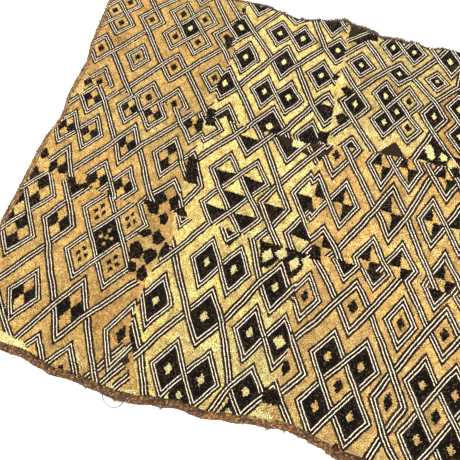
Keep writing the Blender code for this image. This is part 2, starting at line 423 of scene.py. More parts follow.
# Room left free beside a band, in millimetres, so that its outer rows show, and more far off
BAND_ROOM = 0.45
FAR_BAND_ROOM = 0.5
# Start and span of the far part, up the chart
FAR_UP = (200.0, 200.0)

# Stem stitches, in metres: length, pitch, widths, lowest and highest point
STITCH_LENGTH = 0.0034
STITCH_PITCH = 0.0021
BLACK_WIDTH = 0.0023
MIDDLE_WIDTH = 0.0027
CREAM_WIDTH = 0.00115
STITCH_LOW = 0.0009
STITCH_HIGH = 0.0026
CREAM_SINK = -0.0001
# Slant in degrees, and how uneven slant, place and size are
STITCH_SLANT = 13.0
SLANT_UNEVEN = 4.0
STITCH_UNEVEN = 0.0001
SIZE_UNEVEN = 0.08
# How far a stitch strays along its row, in millimetres
STITCH_STRAY = 0.3
# Share of the bare sides that stitches keep free, and their distance from the hem in metres
STITCH_OFF_SIDES = 0.7
STITCH_FROM_HEM = 0.0006
# In the far part the dark rows are fuller
FAR_DARK_WIDER = 0.22
# Stretches of the black rows that have faded: size, how rare they are, share of the stitches
FADED_SIZE = 26.0
FADED_ABOVE = 0.45
FADED_SHARE = 0.75

# Most copies in one joined mesh, so that each stays under 200,000 triangles
MOST_TUFTS = 48000
MOST_STITCHES = 24000

# Light of a small form at its corners: a foot of three and a tip
TUFT_SHADE = (0.84, 0.84, 0.84, 1.03)
FRAY_SHADE = (0.8, 0.8, 0.9, 1.1)
# Or two ends, two sides, a top and an underside
STITCH_SHADE = (0.92, 0.92, 1.0, 1.0, 1.0, 0.5)
HEM_SHADE = (0.7, 0.7, 0.9, 0.9, 1.15, 0.5)
SIDE_SHADE = (0.8, 0.8, 0.9, 0.9, 1.1, 0.6)
WISP_SHADE = (1.2, 1.2, 0.9, 0.9, 1.1, 0.6)

# Raffia. Columns: name, roughness, sheen, grain, bump in metres, contrast, shine
RAFFIAS = {
    "gold": ("cut_pile_raffia", 0.75, 0.15, 1400.0, 0.0003, 0.10, 0.3),
    "black": ("black_raffia", 0.75, 0.0, 1400.0, 0.0003, 0.15, 0.12),
    "cream": ("cream_raffia", 0.65, 0.10, 1200.0, 0.0002, 0.08, 0.3),
    "fibre": ("loose_raffia", 0.75, 0.10, 1200.0, 0.0002, 0.12, 0.3),
}
GROUND_RAFFIA = ("woven_raffia", 0.8, 0.1, 900.0, 0.0002, 0.12, 0.3)
ROUGHNESS_SPREAD = 0.1
# Plain weave: width of a strip in metres, the wave texture's own turn, and the strips' waver, painted shade
# and bump
WEAVE_PITCH = 0.0009
WAVE_TURN = math.pi / 20.0
STRIP_WAVER = 0.6
STRIP_SHADES = (0.6, 1.15)
STRIP_BUMP = 0.0003

# Grid of the ground sheet between its strips
GRID_COLUMNS = 110
GRID_ROWS = 108

# Share of the sheet looked ahead to find the course of an edge
EDGE_STEP = 0.004
# Hem: rows of thread, threads a row, how deep these sink in metres
HEM_THREADS = 9
HEM_BITS = 110
THREAD_SINK = 0.0005
# Whipping threads, the share of them that is pale, and their slant in radians
HEM_WHIPS = 900
PALE_WHIPS = 0.06
WHIP_SLANT = -0.45
# Columns: shortest and longest, narrowest and widest, thickness, in metres
HEM_THREAD = ((0.006, 0.009), (0.0009, 0.0013), 0.0011)
HEM_WHIP = ((0.0022, 0.0052), (0.0005, 0.0009), 0.0008)
# Columns: shares of the hem's width, shares of its length, how far one strays along it
THREAD_SPAN = ((0.02, 1.0), (0.004, 0.996), 0.002)
WHIP_SPAN = ((0.12, 0.95), (0.003, 0.995), 0.001)
# Columns: unevenness of the height in metres and of the course in radians
THREAD_WAVER = (0.00012, 0.07)
WHIP_WAVER = (0.0001, 0.30)
# Fibres on each bare side: how many, the share of them that lie across it, the share of the
# side that they take up, how far in they start, and how far beyond the bare strip they go
SIDE_FIBRES = 1300
CROSS_SHARE = 0.35
SIDE_SPAN = (0.003, 0.994)
SIDE_START = 0.0002
SIDE_BEYOND = 1.1
# Their turn in radians, and in metres their lengths along and across, rise, widths, thickness
SIDE_TURN = 0.12
SIDE_LENGTHS = (0.005, 0.012)
CROSS_LENGTHS = (0.002, 0.004)
SIDE_RISE = 0.0005
SIDE_WIDTHS = (0.0005, 0.0010)
SIDE_THICKNESS = 0.0007
# Frayed ends. Columns: edge, count, reach in metres, spread of their courses, share of the
# depth that they start from, highest foot, lift, colours
FRAYS = (
    ("far", 3400, 0.0034, 0.9, 1.0, 0.0024, 0.0, FRAY_BROWNS),
    ("left", 1300, 0.0028, 1.1, 0.5, 0.0016, 0.0, EDGE_TANS),
    ("right", 1300, 0.0024, 1.1, 0.5, 0.0016, 0.0, EDGE_TANS),
    ("hem", 1700, 0.0024, 1.1, 0.3, 0.0016, 0.0006, HEM_BROWNS),
)
OUTWARD = {"far": (0.0, EDGE_STEP), "left": (-EDGE_STEP, 0.0), "right": (EDGE_STEP, 0.0),
           "hem": (0.0, -EDGE_STEP)}
# Share of the sheet that they start inside its edge, and the share of an edge that has them
FRAY_DEPTH = 0.006
FRAY_SPAN = (0.002, 0.998)
# One frayed end, in metres: half its width and height, its heel, its longest, its lowest foot,
# the rise of its tip and how uneven that is, and the tip's lowest and highest
FRAY_HALF_WIDTH = 0.00036
FRAY_HALF_HEIGHT = 0.0003
FRAY_HEEL = 0.0005
LONGEST_FRAY = 0.011
FRAY_FOOT = 0.0005
FRAY_RISE = (0.0003, 0.0008)
FRAY_TIPS = (0.0002, 0.006)
# How its reach varies: shape and scale of the draw, least share, and clumps of longer ends
REACH_DRAW = (2.0, 0.5)
REACH_LEAST = 0.45
REACH_CLUMPS = (0.0045, 1.5, 62)
# Tufts of longer and darker ends at the far edge: their noise, how much longer, how rare
FAR_TUFTS = (0.022, 1.0, 61)
FAR_TUFTS_LONGER = 1.2
FAR_TUFTS_ABOVE = 0.35
# Share of the ends that are dark where the wisps tangle most
TANGLE_DARK = 0.7
# Long wisps at the far edge, shares of that edge where they tangle, and how many go there
WISPS = 700
TANGLES = ((0.59, 0.635), (0.635, 0.715), (0.73, 0.78), (0.02, 0.98))
TANGLE_SHARES = (0.15, 0.4, 0.25, 0.2)
# One wisp, in metres: length, how much longer some are and the share of those, height, width,
# thickness, how far out its middle may lie as a share of its length, and its turn in radians
WISP_LENGTHS = (0.003, 0.009)
WISP_LONGER = 0.6
LONGER_SHARE = 0.25
WISP_HEIGHTS = (0.0010, 0.0040)
WISP_WIDTHS = (0.00035, 0.0008)
WISP_THICKNESS = 0.0005
WISP_OUT = 0.55
WISP_TURN = 1.1

# The loose thread beside the hem: its path in millimetres, its radius in metres, its grid
HAIR_PATH = (
    (-72.5, -287.0, 0.8), (-71.2, -293.0, 0.5), (-67.8, -295.9, 0.5), (-62.0, -299.0, 0.5),
    (-56.4, -299.2, 0.5), (-52.0, -296.9, 0.5), (-49.8, -294.3, 0.5), (-47.8, -289.5, 0.8),
)
HAIR_RADIUS = 0.00040
HAIR_STEPS = 40
HAIR_SIDES = 6
HAIR_SMOOTHING = 4

# Floor, light and camera
FLOOR_SIZE = 8.0
FLOOR_COLOUR = (0.93, 0.93, 0.93, 1.0)
WORLD_STRENGTH = 0.85
# Columns: name, place, size, watts
LAMPS = (
    ("key", (-1.2, -0.25, 2.2), 0.8, 84.0),
    ("fill", (1.2, -2.0, 2.0), 1.2, 43.0),
)
CAMERA_PLACE = (0.0786, -0.2557, 0.4468)
# The camera's right, up and back
CAMERA_AXES = (
    (0.95631563, 0.28681032, -0.05657082),
    (-0.2443727, 0.89050941, 0.38376422),
    (0.16044439, -0.35317536, 0.92169668),
)
CAMERA_LENS = 32.87
CAMERA_SENSOR = 36.0

rng = np.random.default_rng(7)


def smooth_step(value):
    """0 to 1 with a soft start and end."""
    value = np.clip(value, 0.0, 1.0)
    return value * value * (3.0 - 2.0 * value)


def ramp(value, start, span):
    """0 up to a start, and 1 beyond a span after it."""
    return smooth_step((value - start) / span)


def linear(colour):
    """A colour given from 0 to 255 as the light that it reflects."""
    value = np.asarray(colour, float) / 255.0
    return np.where(value <= 0.04045, value / 12.92, ((value + 0.055) / 1.055) ** 2.4)


def mottle(places, size, seed):
    """Soft noise from -1 to 1 at flat places, with lumps of about that size."""
    lattice = np.random.default_rng(seed).uniform(-1.0, 1.0, (LATTICE + 1, LATTICE + 1))
    cell = places / size
    low = np.floor(cell).astype(int)
    blend = smooth_step(cell - low)
    x, y = low.T % LATTICE
    near = lattice[x, y] * (1 - blend[:, 0]) + lattice[x + 1, y] * blend[:, 0]
    far = lattice[x, y + 1] * (1 - blend[:, 0]) + lattice[x + 1, y + 1] * blend[:, 0]
    return near * (1 - blend[:, 1]) + far * blend[:, 1]


def lumps(places, row):
    """Soft noise as a row of a table has it: size of a lump, how much it changes, its draw."""
    size, change, draw = row
    return change * mottle(places, size, draw)


# The cloth's outline and heights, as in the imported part

def stand_out(edge, share):
    """Metres that an edge stands out at shares of its length, eased between its rows."""
    table = np.array(edge)
    row = np.clip(np.searchsorted(table[:, 0], share) - 1, 0, len(table) - 2)
    span = table[row + 1, 0] - table[row, 0]
    blend = smooth_step((share - table[row, 0]) / span)
    return (table[row, 1] + (table[row + 1, 1] - table[row, 1]) * blend) / 1000.0


def between(start, end, share):
    """Points on the straight line from start to end."""
    return start + (end - start) * np.asarray(share)[..., None]


def sheet_place(across, along):
    """Points of the sheet at two shares from 0 to 1, blended from its four edges."""
    along_column = np.asarray(along)[..., None]
    across_column = np.asarray(across)[..., None]
    down, up = np.array((0.0, -1.0)), np.array((0.0, 1.0))
    out_left, out_right = np.array((-1.0, 0.0)), np.array((1.0, 0.0))
    near_line = between(NEAR_LEFT, NEAR_RIGHT, across)
    far_line = between(FAR_LEFT, FAR_RIGHT, across)
    hem = near_line + down * stand_out(HEM_EDGE, across)[..., None]
    far = far_line + up * stand_out(FAR_EDGE, across)[..., None]
    left = between(NEAR_LEFT, FAR_LEFT, along) + out_left * stand_out(LEFT_EDGE, along)[..., None]
    right = between(NEAR_RIGHT, FAR_RIGHT, along)
    right = right + out_right * stand_out(RIGHT_EDGE, along)[..., None]
    corners = near_line + (far_line - near_line) * along_column
    ends = hem + (far - hem) * along_column
    sides = left + (right - left) * across_column
    return ends + sides - corners - MIDDLE


def chart_place(chart):
    """Points of the cloth at places of the chart, wavering a little."""
    strayed = chart.astype(float)
    for size, far, draw in WAVERS:
        for axis in (0, 1):
            strayed[:, axis] += far * mottle(chart + WAVER_SHIFT, size, draw + axis)
    share = strayed / CHART_SIZE
    near = between(NEAR_LEFT, NEAR_RIGHT, share[:, 0])
    far = between(FAR_LEFT, FAR_RIGHT, share[:, 0])
    return near + (far - near) * share[:, 1:] - MIDDLE


def room_to_edges(chart):
    """Metres from places of the chart to the left, right, hem and far edge."""
    across, along = np.clip(chart / CHART_SIZE, 0.0, 1.0).T
    share = chart / CHART_SIZE
    far_width, right_height = FAR_RIGHT[0] - FAR_LEFT[0], FAR_RIGHT[1] - NEAR_RIGHT[1]
    width = NEAR_WIDTH + (far_width - NEAR_WIDTH) * along
    height = LEFT_HEIGHT + (right_height - LEFT_HEIGHT) * across
    left = share[:, 0] * width + stand_out(LEFT_EDGE, along)
    right = (1.0 - share[:, 0]) * width + stand_out(RIGHT_EDGE, along)
    hem = share[:, 1] * height + stand_out(HEM_EDGE, across)
    far = (1.0 - share[:, 1]) * height + stand_out(FAR_EDGE, across)
    return left, right, hem, far


def swell(across, along):
    """The lying cloth's soft unevenness, added to its thickness."""
    total = 0.0
    for waves_across, waves_along, phase, share in SWELLS:
        turn = 2.0 * math.pi * (waves_across * across + waves_along * along)
        total = total + share * np.sin(turn + phase)
    return SWELL_HEIGHT * total


def roll_height(share):
    """Height of the rolled hem at shares of its width."""
    table = np.array(HEM_ROLL)
    rise = np.interp(share, table[:, 0], table[:, 1])
    return HEM_LIP_THICKNESS + (HEM_THICKNESS - HEM_LIP_THICKNESS) * rise


def far_share(chart):
    """0 in the near half of the chart, 1 in its far part."""
    return ramp(chart[:, 1], *FAR_UP)


def chart_of(places):
    """Places of the chart that lie at points of the cloth."""
    share = np.full(places.shape, 0.5)
    for _ in range(SEARCH_ROUNDS):
        near = between(NEAR_LEFT, NEAR_RIGHT, share[:, 0])
        far = between(FAR_LEFT, FAR_RIGHT, share[:, 0])
        share += (places - near - (far - near) * share[:, 1:] + MIDDLE) / (CHART_SIZE / 1000.0)
    return share * CHART_SIZE


def hem_edge_of_pile(chart):
    """Metres from the hem's lip to the pile at places of the chart."""
    table = np.array(HEM_BARE)
    return HEM_WIDTH * np.interp(chart[:, 0], table[:, 0], table[:, 1])


def hem_lift(hem):
    """How much higher the pile sits where it climbs onto the rolled hem."""
    return np.where(hem < HEM_WIDTH, roll_height(hem / HEM_WIDTH) - PILE_THICKNESS, 0.0)


# The pattern, laid out from the chart

class Band:
    """One straight stretch of a stitched band, cut off where it turns into the next."""

    def __init__(self, start, end, before, after, width):
        self.start, self.end = start, end
        self.course = unit(end - start)
        self.start_cut = unit(self.course + (self.course if before is None else unit(before)))
        self.end_cut = unit(self.course + (self.course if after is None else unit(after)))
        self.rising = self.course[0] * self.course[1] > 0
        self.width = width


def unit(vector):
    """The vector at length 1."""
    return vector / (np.hypot(*vector) + 1e-12)


class Motif:
    """One motif of the chart, with its four corners."""

    def __init__(self, block, column, text):
        self.column = column
        self.kind, self.fill, *numbers = text.split()
        s, t, half_width, half_height, lean, *lift = (float(number) for number in numbers)
        upward = np.array((lean / 100.0, 1.0))
        self.middle = np.array((s, t))
        self.across = np.array((half_width, 0.0))
        self.up = half_height * upward
        self.lift = upward * sum(lift)
        self.left, self.right = self.middle - self.across, self.middle + self.across
        self.top, self.bottom = self.middle + self.up, self.middle - self.up
        self.reach = KNOT_REACH.get(block, PLAIN_KNOT_REACH)


class Block:
    """One block of the chart: its bands, its crossings and its filled cells."""

    def __init__(self, name):
        self.bands, self.crossings, self.cells = [], [], []
        self.rows = [{column: Motif(name, column, text)
                      for column, text in enumerate(row.split(",")) if text.strip() != "-"}
                     for row in CHART[name].split(";")]
        builders = {"K": self.crossing, "k": self.crossing, "D": self.upright,
                    "S": self.diamond, "P": self.pair, "F": self.knot}
        for number, row in enumerate(self.rows):
            for motif in row.values():
                builders[motif.kind](motif, number)
        for block, start, end in LOOSE_BANDS:
            if block == name:
                self.band(np.array(start, float), np.array(end, float), None, None)
        self.tables()

    def neighbour(self, motif, number, across, down):
        """The motif that many columns and rows away, or None."""
        if 0 <= number + down < len(self.rows):
            return self.rows[number + down].get(motif.column + across)
        return None

    def band(self, start, end, before, after, width=BAND_WIDTH):
        """Note a band, with its courses before the start and after the end, or None."""
        self.bands.append(Band(start, end, before, after, width))

    def cell(self, middle, across, up, fill, reach=0.0):
        """Note a filled cell, or a knot of them with its reach."""
        self.cells.append((middle, across, up, fill, reach))

    def arm_end(self, motif, number, across, down):
        """Where an arm of a crossing ends, and its course beyond there or None."""
        other = self.neighbour(motif, number, across, down)
        if other is None or other.kind not in "KkD":
            corner = motif.right if across > 0 else motif.left
            return corner + ARM * (across, -down), None
        if other.kind in "Kk":
            end = other.left if across > 0 else other.right
            return end, (other.top if down < 0 else other.bottom) - end
        end = other.top if down > 0 else other.bottom
        return end, (other.right if across > 0 else other.left) - end

    def crossing(self, motif, number):
        """A diamond whose two bands cross at its left and right corners."""
        left, right, top, bottom = motif.left, motif.right, motif.top, motif.bottom
        over = motif.kind == "K"
        self.crossings += [(left, over), (right, over)]
        right_down, right_down_on = self.arm_end(motif, number, 1, 1)
        right_up, right_up_on = self.arm_end(motif, number, 1, -1)
        left_down, left_down_on = self.arm_end(motif, number, -1, 1)
        left_up, left_up_on = self.arm_end(motif, number, -1, -1)
        self.band(left, top, left - left_down, right - top)
        self.band(top, right, top - left, right_down - right)
        self.band(left, bottom, left - left_up, right - bottom)
        self.band(bottom, right, bottom - left, right_up - right)
        self.band(right, right_down, right - top, right_down_on)
        self.band(right, right_up, right - bottom, right_up_on)
        below = self.neighbour(motif, number, -1, 1)
        above = self.neighbour(motif, number, -1, -1)
        if not (below and below.kind in "Kk"):
            self.band(left, left_down, left - top, left_down_on)
        if not (above and above.kind in "Kk"):
            self.band(left, left_up, left - bottom, left_up_on)
        self.cell(motif.middle, motif.across, motif.up, motif.fill)

    def upright(self, motif, number):
        """A diamond whose two bands cross at its top and bottom corners."""
        left, right, top, bottom = motif.left, motif.right, motif.top, motif.bottom
        self.crossings += [(top, False), (bottom, False)]
        ends = {}
        for across, down in ((-1, -1), (1, -1), (-1, 1), (1, 1)):
            other = self.neighbour(motif, number, across, down)
            meets = other is not None and other.kind in "Kk"
            if meets:
                end = other.right if across < 0 else other.left
            else:
                end = (top if down < 0 else bottom) + ARM * (across, -down)
            ends[across, down] = (end, meets)
        self.band(top, right, top - ends[-1, -1][0], bottom - right)
        self.band(right, bottom, right - top, ends[-1, 1][0] - bottom)
        self.band(top, left, top - ends[1, -1][0], bottom - left)
        self.band(left, bottom, left - top, ends[1, 1][0] - bottom)
        for (across, down), (end, meets) in ends.items():
            corner = top if down < 0 else bottom
            if not meets:
                self.band(corner, end, corner - (right if across < 0 else left), None)
        self.cell(motif.middle, motif.across, motif.up, motif.fill)

    def loop(self, corners):
        """A closed loop of the narrower band."""
        for index in range(4):
            start, end = corners[index], corners[(index + 1) % 4]
            before, after = start - corners[index - 1], corners[(index + 2) % 4] - end
            self.band(start, end, before, after, BAND_WIDTH * SMALL_BAND)

    def diamond(self, motif, number):
        """A closed diamond."""
        self.loop((motif.left, motif.top, motif.right, motif.bottom))
        self.cell(motif.middle, motif.across, motif.up, motif.fill)

    def pair(self, motif, number):
        """Two cells side by side, with the bands crossing between them."""
        across, up, middle = motif.across, motif.up, motif.middle
        left, right = middle - across - motif.lift / 2, middle + across + motif.lift / 2
        self.crossings.append((middle, False))
        path = (left - across, left + up, middle, right - up, right + across, right + up,
                middle, left - up)
        for index in range(8):
            start, end = path[index], path[(index + 1) % 8]
            before, after = start - path[index - 1], path[(index + 2) % 8] - end
            if index in (1, 2):
                before = start - path[index - 1] if index == 1 else end - path[1]
                after = path[3] - end if index == 1 else path[4] - end
            self.band(start, end, before, after, BAND_WIDTH * SMALL_BAND)
        self.cell(left, across, up, motif.fill[0])
        self.cell(right, across, up, motif.fill[-1])

    def knot(self, motif, number):
        """Two long loops that cross each other four times round a middle cell."""
        reach = motif.reach

        def corner(first, second):
            """A corner of the knot, by its places along its two courses."""
            across = motif.across * (first + second) / 2
            return motif.middle + across + motif.up * (second - first) / 2

        self.loop([corner(-1, -reach), corner(1, -reach), corner(1, reach), corner(-1, reach)])
        self.loop([corner(-reach, -1), corner(reach, -1), corner(reach, 1), corner(-reach, 1)])
        self.crossings += [(corner(-1, 1), True), (corner(1, -1), True)]
        self.crossings += [(corner(-1, -1), False), (corner(1, 1), False)]
        self.cell(motif.middle, motif.across, motif.up, motif.fill, reach)

    def tables(self):
        """The bands and crossings as arrays."""
        columns = zip(*((band.start, band.end, band.course, band.start_cut, band.end_cut,
                         band.rising, band.width) for band in self.bands))
        (self.starts, self.ends, self.courses, self.start_cuts, self.end_cuts,
         self.rising, self.widths) = (np.array(column) for column in columns)
        self.meets = np.array([place for place, _ in self.crossings])
        self.rising_over = np.array([over for _, over in self.crossings])

    def top_band(self, places, room=0.0):
        """The number of the band that lies on top at each place or that near, or -1."""
        found = np.full(len(places), -1)
        room = np.broadcast_to(room, len(places))
        for first in range(0, len(places), CHUNK):
            chunk = slice(first, first + CHUNK)
            part = places[chunk]
            from_start = part[:, None] - self.starts
            from_end = part[:, None] - self.ends
            aside = np.abs(from_start[..., 1] * self.courses[:, 0]
                           - from_start[..., 0] * self.courses[:, 1])
            on = aside <= self.widths / 2 + room[chunk, None]
            on &= (from_start * self.start_cuts).sum(-1) >= 0
            on &= (from_end * self.end_cuts).sum(-1) <= 0
            up = np.where(on & self.rising, aside, np.inf)
            down = np.where(on & ~self.rising, aside, np.inf)
            best_up, best_down = up.argmin(1), down.argmin(1)
            has_up, has_down = np.isfinite(up.min(1)), np.isfinite(down.min(1))
            nearest = ((part[:, None] - self.meets) ** 2).sum(-1).argmin(1)
            up_wins = has_up & (~has_down | self.rising_over[nearest])
            best = np.where(up_wins, best_up, best_down)
            found[chunk] = np.where(has_up | has_down, best, -1)
        return found

    def fills(self, places):
        """One letter for each place: n gold, k black or p pale pile."""
        letters = np.full(len(places), "n")
        for middle, across, up, fill, reach in self.cells:
            y = (places[:, 1] - middle[1]) / up[1]
            x = (places[:, 0] - middle[0] - y * up[0]) / across[0]
            first, second = x - y, x + y
            if not reach:
                paint(letters, first, second, fill)
                continue
            out, half = (reach + 1) / 2, (reach - 1) / 2
            parts = (((first + out) / half, second), (first, (second - out) / half),
                     (first, (second + out) / half), ((first - out) / half, second),
                     (first, second))
            for part, rule in zip(parts, fill):
                paint(letters, *part, rule)
        return letters


# Small dots inside a cell: half size, then their middles from left to right and up
FOUR_DOTS = (0.15, ((0.25, 0.0), (-0.25, 0.0), (0.0, 0.27), (0.0, -0.27)))
FIVE_DOTS = (0.13, ((0.3, 0.0), (-0.3, 0.0), (0.0, 0.3), (0.0, -0.3), (0.0, 0.0)))
MIDDLE_DOT = 0.24
GOLD_DOT = 0.32


def dotted(x, y, dots):
    """Where small diamonds lie in a cell."""
    size, middles = dots
    hit = np.zeros(len(x), bool)
    for across, up in middles:
        hit |= np.abs(x - across) / size + np.abs(y - up) / size < 1
    return hit


def paint(letters, first, second, fill):
    """Fill one cell, whose sides lie where first or second is 1 or -1."""
    inside = (np.abs(first) < 1) & (np.abs(second) < 1)
    first, second = first[inside], second[inside]
    x, y = (first + second) / 2, (second - first) / 2
    dot = (np.abs(first) < MIDDLE_DOT) & (np.abs(second) < MIDDLE_DOT)
    seed = (np.abs(first) < GOLD_DOT) & (np.abs(second) < GOLD_DOT)
    rules = {
        "g": lambda: np.where(seed, "k", "n"),
        "b": lambda: np.where(dot, "p", "k"),
        "o": lambda: np.where(dot, "n", "k"),
        "x": lambda: np.where(first * second > 0, "k", "n"),
        "y": lambda: np.where(first * second > 0, "n", "k"),
        "h": lambda: np.where(y > 0, "n", "k"),
        "H": lambda: np.where(y > 0, "k", "n"),
        "w": lambda: np.where((x < 0) == (y > 0), "k", "n"),
        "v": lambda: np.where((x < 0) == (y > 0), "n", "k"),
        "k": lambda: np.full(len(x), "k"),
        "4": lambda: np.where(dotted(x, y, FOUR_DOTS), "k", "n"),
        "d": lambda: np.where(dotted(x, y, FIVE_DOTS), "n", "k"),
        "n": lambda: np.full(len(x), "n"),
    }
    letters[inside] = rules[fill]()


def within(places, corners):
    """Which places lie inside a polygon."""
    x, y = places.T
    inside = np.zeros(len(places), bool)
    for (x1, y1), (x2, y2) in zip(corners, corners[1:] + corners[:1]):
        spans = (y1 > y) != (y2 > y)
        inside ^= spans & (x < (x2 - x1) * (y - y1) / (y2 - y1 + 1e-12) + x1)
    return inside


def block_names(places):
    """The block of the chart that each place lies in."""
    s, t = places.T
    left, right, top, bottom = map(np.array, (LEFT_SEAM, RIGHT_SEAM, TOP_SEAM, BOTTOM_SEAM))
    third = (s >= np.interp(t, left[:, 1], left[:, 0])).astype(int)
    third += s >= np.interp(t, right[:, 1], right[:, 0])
    level = (t <= np.interp(s, top[:, 0], top[:, 1])).astype(int)
    level += t <= np.interp(s, bottom[:, 0], bottom[:, 1])
    names = np.array([[f"{side}-{height}" for height in ("top", "mid", "bot")] for side in "ABC"])
    return names[third, level]


def patch_letters(places):
    """Letters of the odd patches, blank outside them, and where they cover the bands."""
    letters = np.full(len(places), " ")
    covers = np.zeros(len(places), bool)
    for patch in PATCHES.strip().splitlines():
        sort, corners = patch.split(maxsplit=1)
        inside = within(places, points_of(corners))
        letters[inside] = sort[0]
        if sort[1] == "1":
            covers |= inside
    return letters, covers


# Joined meshes of many small closed forms

# A tuft or a frayed end: a foot of three corners and a tip. Its triangles, then their map
TUFT_FACES = np.array(((0, 1, 3), (1, 2, 3), (2, 0, 3), (2, 1, 0)))
TUFT_MAP = np.array((
    ((0.05, 0.05), (0.65, 0.05), (0.35, 0.40)), ((0.65, 0.05), (0.35, 0.95), (0.35, 0.40)),
    ((0.35, 0.95), (0.05, 0.05), (0.35, 0.40)), ((0.85, 0.95), (0.95, 0.05), (0.75, 0.05)),
))
# A stitch or a fibre: two ends, two sides, a top and an underside
STITCH_FACES = np.array((
    (1, 2, 4), (2, 0, 4), (0, 3, 4), (3, 1, 4), (2, 1, 5), (0, 2, 5), (3, 0, 5), (1, 3, 5),
))
STITCH_MAP = np.array((
    ((0.60, 0.50), (0.32, 0.95), (0.32, 0.50)), ((0.32, 0.95), (0.05, 0.50), (0.32, 0.50)),
    ((0.05, 0.50), (0.32, 0.05), (0.32, 0.50)), ((0.32, 0.05), (0.60, 0.50), (0.32, 0.50)),
    ((0.82, 0.95), (0.95, 0.50), (0.82, 0.50)), ((0.68, 0.50), (0.82, 0.95), (0.82, 0.50)),
    ((0.82, 0.05), (0.68, 0.50), (0.82, 0.50)), ((0.95, 0.50), (0.82, 0.05), (0.82, 0.50)),
))


def add_object(name, data):
    """An object of the scene that shows this data."""
    added = bpy.data.objects.new(name, data)
    bpy.context.scene.collection.objects.link(added)
    return added


def mesh_piece(name, points, faces, tones, places, material):
    """An object from arrays: points, triangles, one tone a point and its map's places."""
    mesh = bpy.data.meshes.new(name)
    mesh.vertices.add(len(points))
    mesh.vertices.foreach_set("co", points.astype(np.float32).ravel())
    mesh.loops.add(faces.size)
    mesh.loops.foreach_set("vertex_index", faces.astype(np.int32).ravel())
    mesh.polygons.add(len(faces))
    mesh.polygons.foreach_set("loop_start", np.arange(0, faces.size, 3, dtype=np.int32))
    mesh.update(calc_edges=True)
    tone = mesh.color_attributes.new("tone", "FLOAT_COLOR", "POINT")
    tone.data.foreach_set("color", np.column_stack((tones, np.ones(len(tones)))).ravel())
    layer = mesh.uv_layers.new(name="OFBake")
    layer.data.foreach_set("uv", places.astype(np.float32).ravel())
    mesh.materials.append(material)
    piece = add_object(name, mesh)
    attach(piece, "root")
    return piece


def many(name, corners, faces, face_map, tones, material):
    """Copies of one small closed form: corners and tones are arrays, copy by copy."""
    count, points = corners.shape[:2]
    offsets = (np.arange(count) * points)[:, None, None]
    side = math.ceil(math.sqrt(count))
    cells = np.column_stack((np.arange(count) % side, np.arange(count) // side))
    places = (face_map[None] + cells[:, None, None, :]) / side
    return mesh_piece(name, corners.reshape(-1, 3), (faces[None] + offsets).reshape(-1, 3),
                      tones.reshape(-1, 3), places.reshape(-1, 2), material)


def in_parts(name, corners, faces, face_map, tones, material, most):
    """As many() does, split into pieces that hold no more than most copies each. As
    many() does, in as many pieces as the triangle limit asks for.
    """
    count = max(1, math.ceil(len(corners) / most))
    made = []
    for number, chosen in enumerate(np.array_split(np.arange(len(corners)), count), 1):
        label = name if count == 1 else f"{name}_{number}"
        made.append(many(label, corners[chosen], faces, face_map, tones[chosen], material))
    return made


def fibre_forms(middles, courses, lengths, widths, heights):
    """Long thin closed fibres, pointed at both ends and lying along their courses."""
    half = courses * lengths[:, None] / 2
    side = np.column_stack((-courses[:, 1], courses[:, 0], np.zeros(len(courses))))
    side *= widths[:, None] / 2
    lift = np.zeros_like(middles)
    lift[:, 2] = heights / 2
    return np.stack((middles - half, middles + half, middles + side, middles - side,
                     middles + lift, middles - lift), 1)


def turned_by(course, angle):
    """Flat courses turned by angles, as three numbers each."""
    return np.column_stack((course[:, 0] * np.cos(angle) - course[:, 1] * np.sin(angle),
                            course[:, 0] * np.sin(angle) + course[:, 1] * np.cos(angle),
                            np.zeros(len(course))))


def picked(colours, count):
    """Colours picked at random from a short list, each a little different."""
    table = linear(np.array(colours))
    chosen = table[rng.integers(0, len(table), count)]
    return chosen * np.clip(rng.normal(1.0, THREAD_UNEVEN, count), *THREAD_LIGHT)[:, None]


def shaded(colours, shares):
    """Each copy's colour at its corners, darker or lighter by those shares."""
    return colours[:, None, :] * np.asarray(shares)[None, :, None]


# Materials

def add_node(tree, kind, values):
    """A node with some of its sockets and properties set."""
    node = tree.nodes.new(kind)
    for key, value in values.items():
        if key in node.inputs:
            node.inputs[key].default_value = value
        else:
            setattr(node, key, value)
    return node


def raffia_material(name, roughness, sheen, grain, depth, contrast, specular):
    """Dry raffia: each fibre's own tone, fine grain and a little bump."""
    material = bpy.data.materials.new(name)
    material.use_nodes = True
    tree = material.node_tree
    link = tree.links.new
    shader = tree.nodes["Principled BSDF"]
    shader.inputs["Sheen Weight"].default_value = sheen
    shader.inputs["Sheen Roughness"].default_value = 0.5
    shader.inputs["Specular IOR Level"].default_value = specular
    tone = add_node(tree, "ShaderNodeAttribute", {"attribute_name": "tone"})
    place = add_node(tree, "ShaderNodeTexCoord", {})
    noise = add_node(tree, "ShaderNodeTexNoise", {"Scale": grain, "Detail": 3.0, "Roughness": 0.6})
    link(place.outputs["Object"], noise.inputs["Vector"])
    spread = add_node(tree, "ShaderNodeMapRange", {
        "From Min": 0.3, "From Max": 0.7, "To Min": 1.0 - contrast, "To Max": 1.0 + contrast})
    link(noise.outputs["Fac"], spread.inputs["Value"])
    mix = add_node(tree, "ShaderNodeVectorMath", {"operation": "SCALE"})
    link(tone.outputs["Color"], mix.inputs[0])
    link(spread.outputs["Result"], mix.inputs["Scale"])
    link(mix.outputs["Vector"], shader.inputs["Base Color"])
    rough = add_node(tree, "ShaderNodeMapRange", {
        "To Min": roughness - ROUGHNESS_SPREAD, "To Max": roughness + ROUGHNESS_SPREAD})
    link(noise.outputs["Fac"], rough.inputs["Value"])
    link(rough.outputs["Result"], shader.inputs["Roughness"])
    bump = add_node(tree, "ShaderNodeBump", {"Strength": 0.5, "Distance": depth})
    link(noise.outputs["Fac"], bump.inputs["Height"])
    link(bump.outputs["Normal"], shader.inputs["Normal"])
    return material


